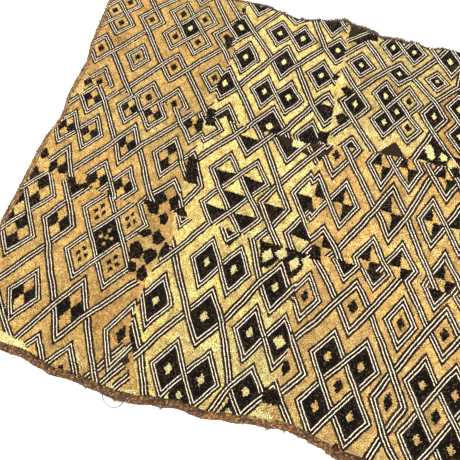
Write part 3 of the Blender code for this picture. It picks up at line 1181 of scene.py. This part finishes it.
def woven_material(*values):
    """Plain weave of raffia strips, one over and one under."""
    material = raffia_material(*values)
    tree = material.node_tree
    link = tree.links.new
    shader = tree.nodes["Principled BSDF"]
    place = next(node for node in tree.nodes if node.type == "TEX_COORD")
    toned = next(node for node in tree.nodes if node.type == "VECT_MATH")
    grain = next(node for node in tree.nodes if node.type == "BUMP")
    over = add_node(tree, "ShaderNodeTexChecker", {"Scale": 1.0 / WEAVE_PITCH})
    link(place.outputs["Object"], over.inputs["Vector"])
    pick = add_node(tree, "ShaderNodeMix", {"data_type": "FLOAT"})
    link(over.outputs["Fac"], pick.inputs["Factor"])
    for axis, socket in (("X", "A"), ("Y", "B")):
        wave = add_node(tree, "ShaderNodeTexWave", {
            "wave_type": "BANDS", "bands_direction": axis,
            "Scale": WAVE_TURN / WEAVE_PITCH, "Distortion": STRIP_WAVER})
        link(place.outputs["Object"], wave.inputs["Vector"])
        link(wave.outputs["Fac"], pick.inputs[socket])
    # Painted shade: each strip lighter in its middle and darker where it dips under the next
    shade = add_node(tree, "ShaderNodeMapRange", {
        "To Min": STRIP_SHADES[0], "To Max": STRIP_SHADES[1]})
    link(pick.outputs["Result"], shade.inputs["Value"])
    darker = add_node(tree, "ShaderNodeVectorMath", {"operation": "SCALE"})
    link(toned.outputs["Vector"], darker.inputs[0])
    link(shade.outputs["Result"], darker.inputs["Scale"])
    link(darker.outputs["Vector"], shader.inputs["Base Color"])
    bump = add_node(tree, "ShaderNodeBump", {"Strength": 0.8, "Distance": STRIP_BUMP})
    link(pick.outputs["Result"], bump.inputs["Height"])
    link(grain.outputs["Normal"], bump.inputs["Normal"])
    link(bump.outputs["Normal"], shader.inputs["Normal"])
    return material


# The ground

def grid_shares(low, high, count):
    """Shares from 0 to 1 with fixed lines near the ends and an even grid between them."""
    inner = np.linspace(low[-1], high[0], count + 1)
    return np.concatenate((low[:-1], inner, high[1:]))


def ground_tones(across, along, places):
    """Ground colours: brown hem, tan sides, dark far strip and a shadowed brown field."""
    tones = np.tile(linear(GROUND_BROWN), (len(across), 1))
    is_side = np.minimum(across, 1.0 - across) * NEAR_WIDTH < BARE_SIDE_WIDTH + PILE_RISE_WIDTH
    is_far = (1.0 - along) * LEFT_HEIGHT < BARE_TOP_WIDTH + PILE_RISE_WIDTH
    is_hem = along * LEFT_HEIGHT < HEM_WIDTH * 1.01
    for strip, colour in ((is_side, EDGE_TANS[2]), (is_far, FRAY_BROWNS[1]), (is_hem, HEM_BROWNS[1])):
        tones = np.where(strip[:, None], linear(colour), tones)
    return tones * (1.0 + lumps(places, GROUND_LUMPS))[:, None]


def under_black(blocks, chart):
    """Where the pile above the ground is black."""
    names = block_names(chart)
    dark = np.zeros(len(chart), bool)
    for name, block in blocks.items():
        chosen = names == name
        dark[chosen] = block.fills(chart[chosen]) == "k"
    patched = patch_letters(chart)[0]
    return np.where(patched != " ", patched == "k", dark)


def rim_of(columns, rows):
    """Grid numbers around the sheet's rim, counterclockwise from above."""
    near = np.arange(columns)
    right = np.arange(1, rows) * columns + columns - 1
    back = (rows - 1) * columns + np.arange(columns - 2, -1, -1)
    left = np.arange(rows - 2, 0, -1) * columns
    return np.concatenate((near, right, back, left))


def make_ground(blocks, material):
    """The woven sheet with its rolled hem: top, flat underside and rim, closed."""
    bare = BARE_SIDE_WIDTH / NEAR_WIDTH
    roll = np.array([share for share, _ in HEM_ROLL]) * HEM_WIDTH / LEFT_HEIGHT
    across_lines = grid_shares((0.0, bare / 2, bare), (1 - bare, 1 - bare / 2, 1.0), GRID_COLUMNS)
    along_lines = grid_shares(roll, (1.0 - BARE_TOP_WIDTH / LEFT_HEIGHT, 1.0), GRID_ROWS)
    columns, rows = len(across_lines), len(along_lines)
    across, along = (grid.ravel() for grid in np.meshgrid(across_lines, along_lines))
    places = sheet_place(across, along)
    hem_share = along * LEFT_HEIGHT / HEM_WIDTH
    from_side = np.minimum(across, 1.0 - across) * NEAR_WIDTH - BARE_SIDE_WIDTH
    from_far = (1.0 - along) * LEFT_HEIGHT - BARE_TOP_WIDTH
    piled = smooth_step(np.minimum(from_side, from_far) / PILE_RISE_WIDTH)
    uneven = swell(across, along)
    heights = GROUND_THICKNESS - GROUND_SINK + uneven * piled
    heights = np.where(hem_share < 0.99, roll_height(hem_share) - HEM_SINK + uneven, heights)
    points = np.concatenate((np.column_stack((places, heights)),
                             np.column_stack((places, np.zeros(len(places))))))
    corner = (np.arange(rows - 1)[:, None] * columns + np.arange(columns - 1)).ravel()
    upper = np.concatenate((np.column_stack((corner, corner + 1, corner + columns + 1)),
                            np.column_stack((corner, corner + columns + 1, corner + columns))))
    offset = len(places)
    rim = rim_of(columns, rows)
    after = np.roll(rim, -1)
    wall = np.concatenate((np.column_stack((rim + offset, after + offset, after)),
                           np.column_stack((rim + offset, after, rim))))
    faces = np.concatenate((upper, upper[:, ::-1] + offset, wall))
    tones = ground_tones(across, along, places)
    # Painted shade: the ground goes near black under black pile, for shade and black fibre in its gaps
    dark = under_black(blocks, chart_of(places)) & (piled > 0.5) & (hem_share > 1.01)
    upper_tones = np.where(dark[:, None], linear(BLACK_FIBRE_AND_SHADE_GROUND), tones)
    flat_map = (places - places.min(0)) / (places.max(0) - places.min(0))
    flat_map = np.concatenate((flat_map, flat_map)) * (0.48, 0.96) + 0.01
    flat_map[offset:, 0] += 0.5
    piece = mesh_piece("raffia_ground", points, faces,
                       np.concatenate((upper_tones, tones * UNDERSIDE_PALER)),
                       flat_map[faces].reshape(-1, 2), material)
    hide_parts("raffia_cloth")
    return piece


# The pile

def tuft_grid():
    """Places of the tufts in the chart, in offset rows along the weave."""
    step = TUFT_PITCH * math.sqrt(3) / 2
    rows = np.arange(-OVERHANG_UP, CHART_SIZE + OVERHANG_UP, step)
    columns = np.arange(-OVERHANG_ASIDE, CHART_SIZE + OVERHANG_ASIDE, TUFT_PITCH)
    s, t = np.meshgrid(columns, rows)
    s[1::2] += TUFT_PITCH / 2
    places = np.column_stack((s.ravel(), t.ravel()))
    return places + rng.normal(0.0, TUFT_STRAY, places.shape)


def pile_colours(names, letters, places):
    """Colour of each tuft, uneven as hand dyed raffia is, and painted rib light and shade."""
    s, t = places.T
    count = len(places)
    colours = np.zeros((count, 3))
    for name, dye in DYES.items():
        colours[names == name] = linear(dye)
    ochre = ramp(s, *FAR_RIGHT_ACROSS) * ramp(t, *FAR_RIGHT_UP)
    ochre *= 1.0 - FAR_RIGHT_FADES * ramp(t, *FAR_RIGHT_ENDS)
    ochre = ochre[:, None] * FAR_RIGHT_SHARE
    colours = colours * (1 - ochre) + linear(FAR_RIGHT_OCHRE) * ochre
    wear_and_rib_light = np.ones(count)
    for row in WEAR:
        wear_and_rib_light += lumps(places, row)
    # Painted light and shade: alternate rows of tufts lighter and darker along the ribs
    ribs = s + lumps(places, RIB_WAVER)
    wear_and_rib_light += RIB_SHARE * np.cos(math.pi * ribs / TUFT_PITCH)
    wear_and_rib_light *= 1.0 - FAR_DARKENING * ramp(t, *FAR_DARKER_UP)
    warm = lumps(places, WARMTH) - WEAR_AND_LIGHT_COOLS * (wear_and_rib_light - 1.0)
    colours *= wear_and_rib_light[:, None] * np.column_stack((1 + warm, np.ones(count), 1 - BLUE_FOLLOWS * warm))
    for stain_s, stain_t, radius, share in STAINS:
        away = ((s - stain_s) ** 2 + (t - stain_t) ** 2) / radius ** 2
        taken = share * np.exp(-away) * (1.0 + lumps(places, STAIN_LUMPS))
        colours *= np.clip(1.0 - taken[:, None] * np.array(STAIN_HUE), 0.1, 1.0)
    for letter, dye in (("p", PALE), ("k", BLACK), ("B", BROWN)):
        colours[letters == letter] = linear(dye)
    specks = (letters == "k") & (rng.random(count) < SPECK_SHARE)
    colours[specks] = linear(BLACK_FLECK)
    each = rng.normal(1.0, TUFT_UNEVEN, count)
    flecks = (rng.random(count) < FLECK_SHARE) & ((letters == "n") | (letters == "g"))
    each = np.where(flecks, each * FLECK_LIGHT, each)
    return np.clip(colours * np.clip(each, *TUFT_LIGHT)[:, None], 0.0, 1.0)


def make_pile(blocks, materials):
    """Cut pile between the bands, tuft by tuft."""
    places = tuft_grid()
    left, right, hem, far = room_to_edges(places)
    ragged = rng.uniform(0.0, RAGGED_RIM, len(places))
    sides = BARE_SIDE_WIDTH - PILE_OVERLAP + ragged + lumps(places, RIM_LUMPS)
    keep = (left > sides) & (right > sides) & (far > FAR_PILE_EDGE + ragged)
    keep &= hem > hem_edge_of_pile(places) + PILE_FROM_HEM + ragged * 0.5
    places, climb = places[keep], hem_lift(hem[keep])
    room = np.minimum.reduce([left[keep], right[keep], far[keep] + FAR_ROOM]) - BARE_SIDE_WIDTH
    strayed = places + rng.uniform(-RAGGED_EDGE, RAGGED_EDGE, places.shape)
    names = block_names(places)
    letters = np.full(len(places), "n")
    banded = np.zeros(len(places), bool)
    aside = BAND_ROOM + FAR_BAND_ROOM * far_share(places)
    for name, block in blocks.items():
        chosen = names == name
        letters[chosen] = block.fills(strayed[chosen])
        banded[chosen] = block.top_band(places[chosen], aside[chosen]) >= 0
    patched, covers = patch_letters(strayed)
    patched = np.where(patched == "n", "B", patched)
    letters = np.where(patched != " ", patched, letters)
    keep = ~banded | covers
    places, names, letters, room, climb = (
        values[keep] for values in (places, names, letters, room, climb))
    colours = pile_colours(names, letters, places)
    flat = chart_place(places)
    count = len(places)
    turn = rng.uniform(0.0, 2 * math.pi, count)
    rise = smooth_step(room / PILE_RISE_WIDTH)
    uneven = swell(*(places / CHART_SIZE).T)
    dark = (letters == "k") | (letters == "B")
    tall = PILE_THICKNESS - PILE_FALL * (1 - rise) + uneven + rng.normal(0.0, PILE_UNEVEN, count)
    tall += lumps(places, PILE_LUMPS)
    tall = np.clip(tall + PILE_ABOVE, *PILE_LIMITS) + climb
    corners = np.zeros((count, 4, 3))
    half = TUFT_HALF_WIDTH * np.where(dark, BLACK_FULLER, 1.0)
    for index in range(3):
        angle = turn + index * 2 * math.pi / 3
        corners[:, index, 0] = flat[:, 0] + half * np.cos(angle)
        corners[:, index, 1] = flat[:, 1] + half * np.sin(angle)
        corners[:, index, 2] = TUFT_FOOT + uneven * rise + climb
    corners[:, 3, :2] = flat + rng.normal(0.0, TUFT_LEAN, (count, 2))
    corners[:, 3, 2] = tall
    tones = shaded(colours, TUFT_SHADE)
    side = np.array([name[0] for name in names])
    pieces = []
    for label, chosen, dye in (("pile_left", (side == "A") & ~dark, "gold"),
                               ("pile_middle", (side == "B") & ~dark, "gold"),
                               ("pile_right", (side == "C") & ~dark, "gold"),
                               ("pile_black", dark, "black")):
        pieces += in_parts(label, corners[chosen], TUFT_FACES, TUFT_MAP, tones[chosen],
                           materials[dye], MOST_TUFTS)
    return pieces


# The stitches

def stitch_spots(blocks):
    """Middle, course and row of every stitch, where its band lies on top."""
    pitch = STITCH_PITCH * 1000.0
    found = []
    for name, block in blocks.items():
        for number, band in enumerate(block.bands):
            length = np.hypot(*(band.end - band.start))
            run = np.arange(-band.width, length + band.width, pitch)
            across = np.array((-band.course[1], band.course[0]))
            for row in range(BAND_ROWS):
                aside = (row - (BAND_ROWS - 1) / 2) * band.width / BAND_ROWS
                strayed = rng.uniform(-STITCH_STRAY, STITCH_STRAY, len(run))
                steps = run + strayed + (row % 2) * pitch / 2
                line = band.start + across * aside + band.course * steps[:, None]
                line = line[block_names(line) == name]
                line = line[block.top_band(line) == number]
                rest = np.tile((*band.course, row), (len(line), 1))
                found.append(np.column_stack((line, rest)))
    table = np.concatenate(found)
    return table[:, :2], table[:, 2:4], table[:, 4]


def make_stitches(blocks, materials):
    """Stem stitches in five rows along every band: black, cream, black, cream, black."""
    spots, courses, rows = stitch_spots(blocks)
    left, right, hem, far = room_to_edges(spots)
    keep = ~patch_letters(spots)[1] & (far > FAR_PILE_EDGE)
    keep &= np.minimum(left, right) > BARE_SIDE_WIDTH * STITCH_OFF_SIDES
    keep &= hem > hem_edge_of_pile(spots) + STITCH_FROM_HEM
    spots, courses, rows = spots[keep], courses[keep], rows[keep]
    dark, middle = rows % 2 == 0, rows == BAND_ROWS // 2
    climb = hem_lift(hem[keep])
    count = len(spots)
    flat = chart_place(spots)
    ahead = chart_place(spots + courses) - flat
    ahead /= np.hypot(ahead[:, 0], ahead[:, 1])[:, None]
    turned = turned_by(ahead, np.radians(STITCH_SLANT + rng.normal(0.0, SLANT_UNEVEN, count)))
    uneven = swell(*(spots / CHART_SIZE).T)
    tall = STITCH_HIGH - STITCH_LOW + rng.normal(0.0, STITCH_UNEVEN, count)
    tall += np.where(dark, 0.0, CREAM_SINK)
    middles = np.column_stack((flat + rng.normal(0.0, STITCH_UNEVEN, (count, 2)),
                               STITCH_LOW + tall / 2 + uneven + climb))
    lengths = STITCH_LENGTH * rng.normal(1.0, SIZE_UNEVEN, count)
    widths = np.where(middle, MIDDLE_WIDTH, np.where(dark, BLACK_WIDTH, CREAM_WIDTH))
    widths = widths * rng.normal(1.0, SIZE_UNEVEN, count)
    widths *= 1.0 + np.where(dark, FAR_DARK_WIDER, 0.0) * far_share(spots)
    forms = fibre_forms(middles, turned, lengths, widths, tall)
    base = np.where(dark[:, None], linear(STITCH_BLACK), linear(CREAM))
    faded = dark & (mottle(spots, FADED_SIZE, 31) > FADED_ABOVE) & (rng.random(count) < FADED_SHARE)
    base = np.where(faded[:, None], linear(BROWN), base)
    light = np.clip(rng.normal(1.0, STITCH_DYE_UNEVEN, count), *STITCH_LIGHT)
    tones = shaded(base * light[:, None], STITCH_SHADE)
    pieces = []
    for colour, chosen in (("black", dark), ("cream", ~dark)):
        pieces += in_parts(f"stitches_{colour}", forms[chosen], STITCH_FACES, STITCH_MAP,
                           tones[chosen], materials[colour], MOST_STITCHES)
    return pieces


# The hem and the loose fibres

def edge_course(across, along, step_across, step_along):
    """Place and course at points of the sheet, looking the way that the steps lead."""
    here = sheet_place(across, along)
    there = sheet_place(across + step_across, along + step_along)
    course = there - here
    return here, course / np.hypot(course[:, 0], course[:, 1])[:, None]


def hem_fibres(here, heights, course, turns, form):
    """Threads of one kind on the hem, with their colours: form has their range of lengths
    and of widths, and their thickness."""
    lengths, widths, thickness = form
    count = len(here)
    forms = fibre_forms(np.column_stack((here, heights)), turned_by(course, turns),
                        rng.uniform(*lengths, count), rng.uniform(*widths, count),
                        np.full(count, thickness))
    lumpy = 1.0 + lumps(here + 1.0, HEM_LUMPS)
    return forms, picked(HEM_BROWNS, count) * lumpy[:, None]


def make_hem(material):
    """Threads wound along the rolled hem, and whipping over it."""
    width, length, stray = THREAD_SPAN
    uneven, turn = THREAD_WAVER
    share = np.repeat(np.linspace(*width, HEM_THREADS), HEM_BITS)
    across = np.tile(np.linspace(*length, HEM_BITS), HEM_THREADS)
    across = np.clip(across + rng.uniform(-stray, stray, len(across)), stray, length[1])
    along = share * HEM_WIDTH / LEFT_HEIGHT
    here, course = edge_course(across, along, EDGE_STEP / 2, 0.0)
    tall = roll_height(share) + swell(across, along) - THREAD_SINK
    tall = tall + rng.normal(0.0, uneven, len(here))
    turns = rng.normal(0.0, turn, len(here))
    threads, colours = hem_fibres(here, tall, course, turns, HEM_THREAD)
    width, length, stray = WHIP_SPAN
    uneven, turn = WHIP_WAVER
    whips = np.linspace(*length, HEM_WHIPS) + rng.uniform(-stray, stray, HEM_WHIPS)
    share = rng.uniform(*width, HEM_WHIPS)
    here, course = edge_course(whips, share * HEM_WIDTH / LEFT_HEIGHT, 0.0, EDGE_STEP)
    tall = roll_height(share) + rng.normal(0.0, uneven, HEM_WHIPS)
    turns = rng.normal(WHIP_SLANT, turn, HEM_WHIPS)
    whipping, whip_colours = hem_fibres(here, tall, course, turns, HEM_WHIP)
    pale = rng.random(HEM_WHIPS) < PALE_WHIPS
    whip_colours = np.where(pale[:, None], linear(EDGE_TANS[1]), whip_colours)
    tones = shaded(np.concatenate((colours, whip_colours)), HEM_SHADE)
    return many("hem_threads", np.concatenate((threads, whipping)), STITCH_FACES, STITCH_MAP,
                tones, material)


def make_side_fibres(material):
    """Split raffia strips lying along the bare left and right edges, some across them."""
    count = SIDE_FIBRES * 2
    along = rng.uniform(*SIDE_SPAN, count)
    inward = rng.uniform(SIDE_START, BARE_SIDE_WIDTH * SIDE_BEYOND, count) / NEAR_WIDTH
    across = np.where(np.arange(count) < SIDE_FIBRES, inward, 1.0 - inward)
    here, course = edge_course(across, along, 0.0, EDGE_STEP)
    cross = rng.random(count) < CROSS_SHARE
    angle = rng.normal(0.0, SIDE_TURN, count) + np.where(cross, math.pi / 2, 0.0)
    lengths = np.where(cross, rng.uniform(*CROSS_LENGTHS, count), rng.uniform(*SIDE_LENGTHS, count))
    tall = GROUND_THICKNESS + rng.uniform(0.0, SIDE_RISE, count)
    forms = fibre_forms(np.column_stack((here, tall)), turned_by(course, angle), lengths,
                        rng.uniform(*SIDE_WIDTHS, count), np.full(count, SIDE_THICKNESS))
    tones = shaded(picked(EDGE_TANS, count), SIDE_SHADE)
    return many("side_fibres", forms, STITCH_FACES, STITCH_MAP, tones, material)


def frayed(place, count, longest, spread, depth, highest, lift, browns):
    """Frayed ends of one edge: their corners and tones."""
    share = rng.uniform(*FRAY_SPAN, count)
    inside = rng.uniform(0.0, FRAY_DEPTH, count) * depth
    across = share if place in ("far", "hem") else inside if place == "left" else 1.0 - inside
    along = share if place in ("left", "right") else inside if place == "hem" else 1.0 - inside
    here, course = edge_course(across, along, *OUTWARD[place])
    course = turned_by(course, rng.normal(0.0, spread, count))
    reach = longest * rng.gamma(*REACH_DRAW, count)
    reach *= REACH_LEAST + np.maximum(lumps(here + 1.0, REACH_CLUMPS), 0.0)
    tufted = lumps(here + 1.0, FAR_TUFTS)
    if place == "far":
        reach *= 1.0 + FAR_TUFTS_LONGER * np.maximum(tufted, 0.0)
    foot = rng.uniform(FRAY_FOOT, highest, count) + lift
    tips = np.column_stack((here, foot)) + course * np.minimum(reach, LONGEST_FRAY)[:, None]
    tips[:, 2] = np.clip(tips[:, 2] + rng.normal(*FRAY_RISE, count), *FRAY_TIPS)
    side = np.column_stack((-course[:, 1], course[:, 0])) * FRAY_HALF_WIDTH
    heel = here - course[:, :2] * FRAY_HEEL
    corners = np.stack((np.column_stack((here - side, foot - FRAY_HALF_HEIGHT)),
                        np.column_stack((here + side, foot - FRAY_HALF_HEIGHT)),
                        np.column_stack((heel, foot + FRAY_HALF_HEIGHT)), tips), 1)
    colours = picked(browns, count)
    if place == "far":
        clump = tufted > FAR_TUFTS_ABOVE
        for start, end in TANGLES[1:3]:
            clump |= (share > start) & (share < end) & (rng.random(count) < TANGLE_DARK)
        colours = np.where(clump[:, None], linear(FRAY_DARK), colours)
    return corners, shaded(colours, FRAY_SHADE)


def make_fray(material):
    """Frayed ends along the far edge, and a few at the sides and the hem's lip."""
    forms, tones = zip(*(frayed(*row) for row in FRAYS))
    return many("edge_fray", np.concatenate(forms), TUFT_FACES, TUFT_MAP,
                np.concatenate(tones), material)


def make_wisps(material):
    """Long dark wisps, tangled at some places of the far edge."""
    spans = np.array(TANGLES)[rng.choice(len(TANGLES), WISPS, p=TANGLE_SHARES)]
    across = rng.uniform(spans[:, 0], spans[:, 1])
    here, course = edge_course(across, 1.0 - rng.uniform(0.0, FRAY_DEPTH, WISPS), 0.0, EDGE_STEP)
    lengths = rng.uniform(*WISP_LENGTHS, WISPS)
    lengths = lengths * (1.0 + WISP_LONGER * (rng.random(WISPS) < LONGER_SHARE))
    middles = np.column_stack((here, rng.uniform(*WISP_HEIGHTS, WISPS)))
    middles[:, :2] += course * (lengths * rng.uniform(0.0, WISP_OUT, WISPS))[:, None]
    forms = fibre_forms(middles, turned_by(course, rng.normal(0.0, WISP_TURN, WISPS)), lengths,
                        rng.uniform(*WISP_WIDTHS, WISPS), np.full(WISPS, WISP_THICKNESS))
    tones = shaded(picked(FRAY_BROWNS + (FRAY_DARK,), WISPS), WISP_SHADE)
    return many("edge_wisps", forms, STITCH_FACES, STITCH_MAP, tones, material)


def tube(points, radius, sides):
    """A closed thin tube through points: its points and triangles."""
    course = np.gradient(points, axis=0)
    course /= np.linalg.norm(course, axis=1)[:, None]
    aside = np.cross(course, (0.0, 0.0, 1.0))
    aside /= np.linalg.norm(aside, axis=1)[:, None]
    up = np.cross(aside, course)
    turn = np.arange(sides) * 2 * math.pi / sides
    rings = points[:, None] + radius * (aside[:, None] * np.cos(turn)[:, None]
                                        + up[:, None] * np.sin(turn)[:, None])
    first = np.arange(len(points) - 1)[:, None] * sides
    corner = (first + np.arange(sides)).ravel()
    beside = (first + (np.arange(sides) + 1) % sides).ravel()
    walls = np.concatenate((np.column_stack((corner, beside, beside + sides)),
                            np.column_stack((corner, beside + sides, corner + sides))))
    last = (len(points) - 1) * sides
    caps = [(0, step + 1, step) for step in range(1, sides - 1)]
    caps += [(last, last + step, last + step + 1) for step in range(1, sides - 1)]
    return rings.reshape(-1, 3), np.concatenate((walls, np.array(caps)))


def make_hair(material):
    """One loose fine thread that has slipped out beside the hem."""
    knots = np.array(HAIR_PATH) / 1000.0
    spans = np.concatenate(((0.0,), np.cumsum(np.linalg.norm(np.diff(knots, axis=0), axis=1))))
    fine = np.linspace(0.0, spans[-1], HAIR_STEPS)
    points = np.column_stack([np.interp(fine, spans, knots[:, axis]) for axis in range(3)])
    for _ in range(HAIR_SMOOTHING):
        points[1:-1] = (points[:-2] + 2 * points[1:-1] + points[2:]) / 4
    places, faces = tube(points, HAIR_RADIUS, HAIR_SIDES)
    tones = np.tile(linear(HAIR_GREY), (len(places), 1))
    ring, side = np.divmod(np.arange(len(places)), HAIR_SIDES)
    spread = np.column_stack((ring / HAIR_STEPS, side / HAIR_SIDES + 0.05))
    return mesh_piece("loose_thread", places, faces, tones, spread[faces].reshape(-1, 2), material)


# Floor, light and camera

def make_floor():
    """A plain pale floor."""
    mesh = bpy.data.meshes.new("floor")
    half = FLOOR_SIZE / 2
    mesh.from_pydata([(-half, -half, 0.0), (half, -half, 0.0), (half, half, 0.0), (-half, half, 0.0)],
                     [], [(0, 1, 2, 3)])
    material = bpy.data.materials.new("pale_floor")
    material.use_nodes = True
    shader = material.node_tree.nodes["Principled BSDF"]
    shader.inputs["Base Color"].default_value = FLOOR_COLOUR
    shader.inputs["Roughness"].default_value = 0.9
    shader.inputs["Specular IOR Level"].default_value = 0.1
    mesh.materials.append(material)
    floor = add_object("floor", mesh)
    return floor


def make_lights():
    """Plain soft studio light: a pale surround and two broad lamps."""
    world = bpy.data.worlds.new("studio")
    world.use_nodes = True
    background = world.node_tree.nodes["Background"]
    background.inputs["Color"].default_value = (1.0, 1.0, 1.0, 1.0)
    background.inputs["Strength"].default_value = WORLD_STRENGTH
    bpy.context.scene.world = world
    for name, place, size, power in LAMPS:
        lamp = bpy.data.lights.new(name, "AREA")
        lamp.shape = "SQUARE"
        lamp.size = size
        lamp.energy = power
        back = np.array(place) / np.linalg.norm(place)
        side = np.cross((0.0, 1.0, 0.0), back)
        side /= np.linalg.norm(side)
        stand(add_object(name, lamp), place, (side, np.cross(back, side), back))


def stand(item, place, axes):
    """Put a lamp or camera at a place, with its axes to the right, up and back."""
    turn = Matrix(np.column_stack(axes).tolist()).to_quaternion()
    item.matrix_world = Matrix.LocRotScale(place, turn, None)


def make_camera():
    """The photograph's view, from above the hem."""
    lens = bpy.data.cameras.new("camera")
    lens.lens = CAMERA_LENS
    lens.sensor_width = CAMERA_SENSOR
    lens.clip_start = 0.01
    camera = add_object("camera", lens)
    stand(camera, CAMERA_PLACE, CAMERA_AXES)
    bpy.context.scene.camera = camera


def build():
    """Dress the frame."""
    make_camera()
    blocks = {name: Block(name) for name in CHART}
    materials = {key: raffia_material(*row) for key, row in RAFFIAS.items()}
    woven = woven_material(*GROUND_RAFFIA)
    floor = make_floor()
    ground = make_ground(blocks, woven)
    carried = make_pile(blocks, materials) + make_stitches(blocks, materials)
    carried += [make(materials["fibre"])
                for make in (make_hem, make_side_fibres, make_fray, make_wisps, make_hair)]
    make_lights()
    bpy.context.scene.view_settings.view_transform = "Standard"


build()
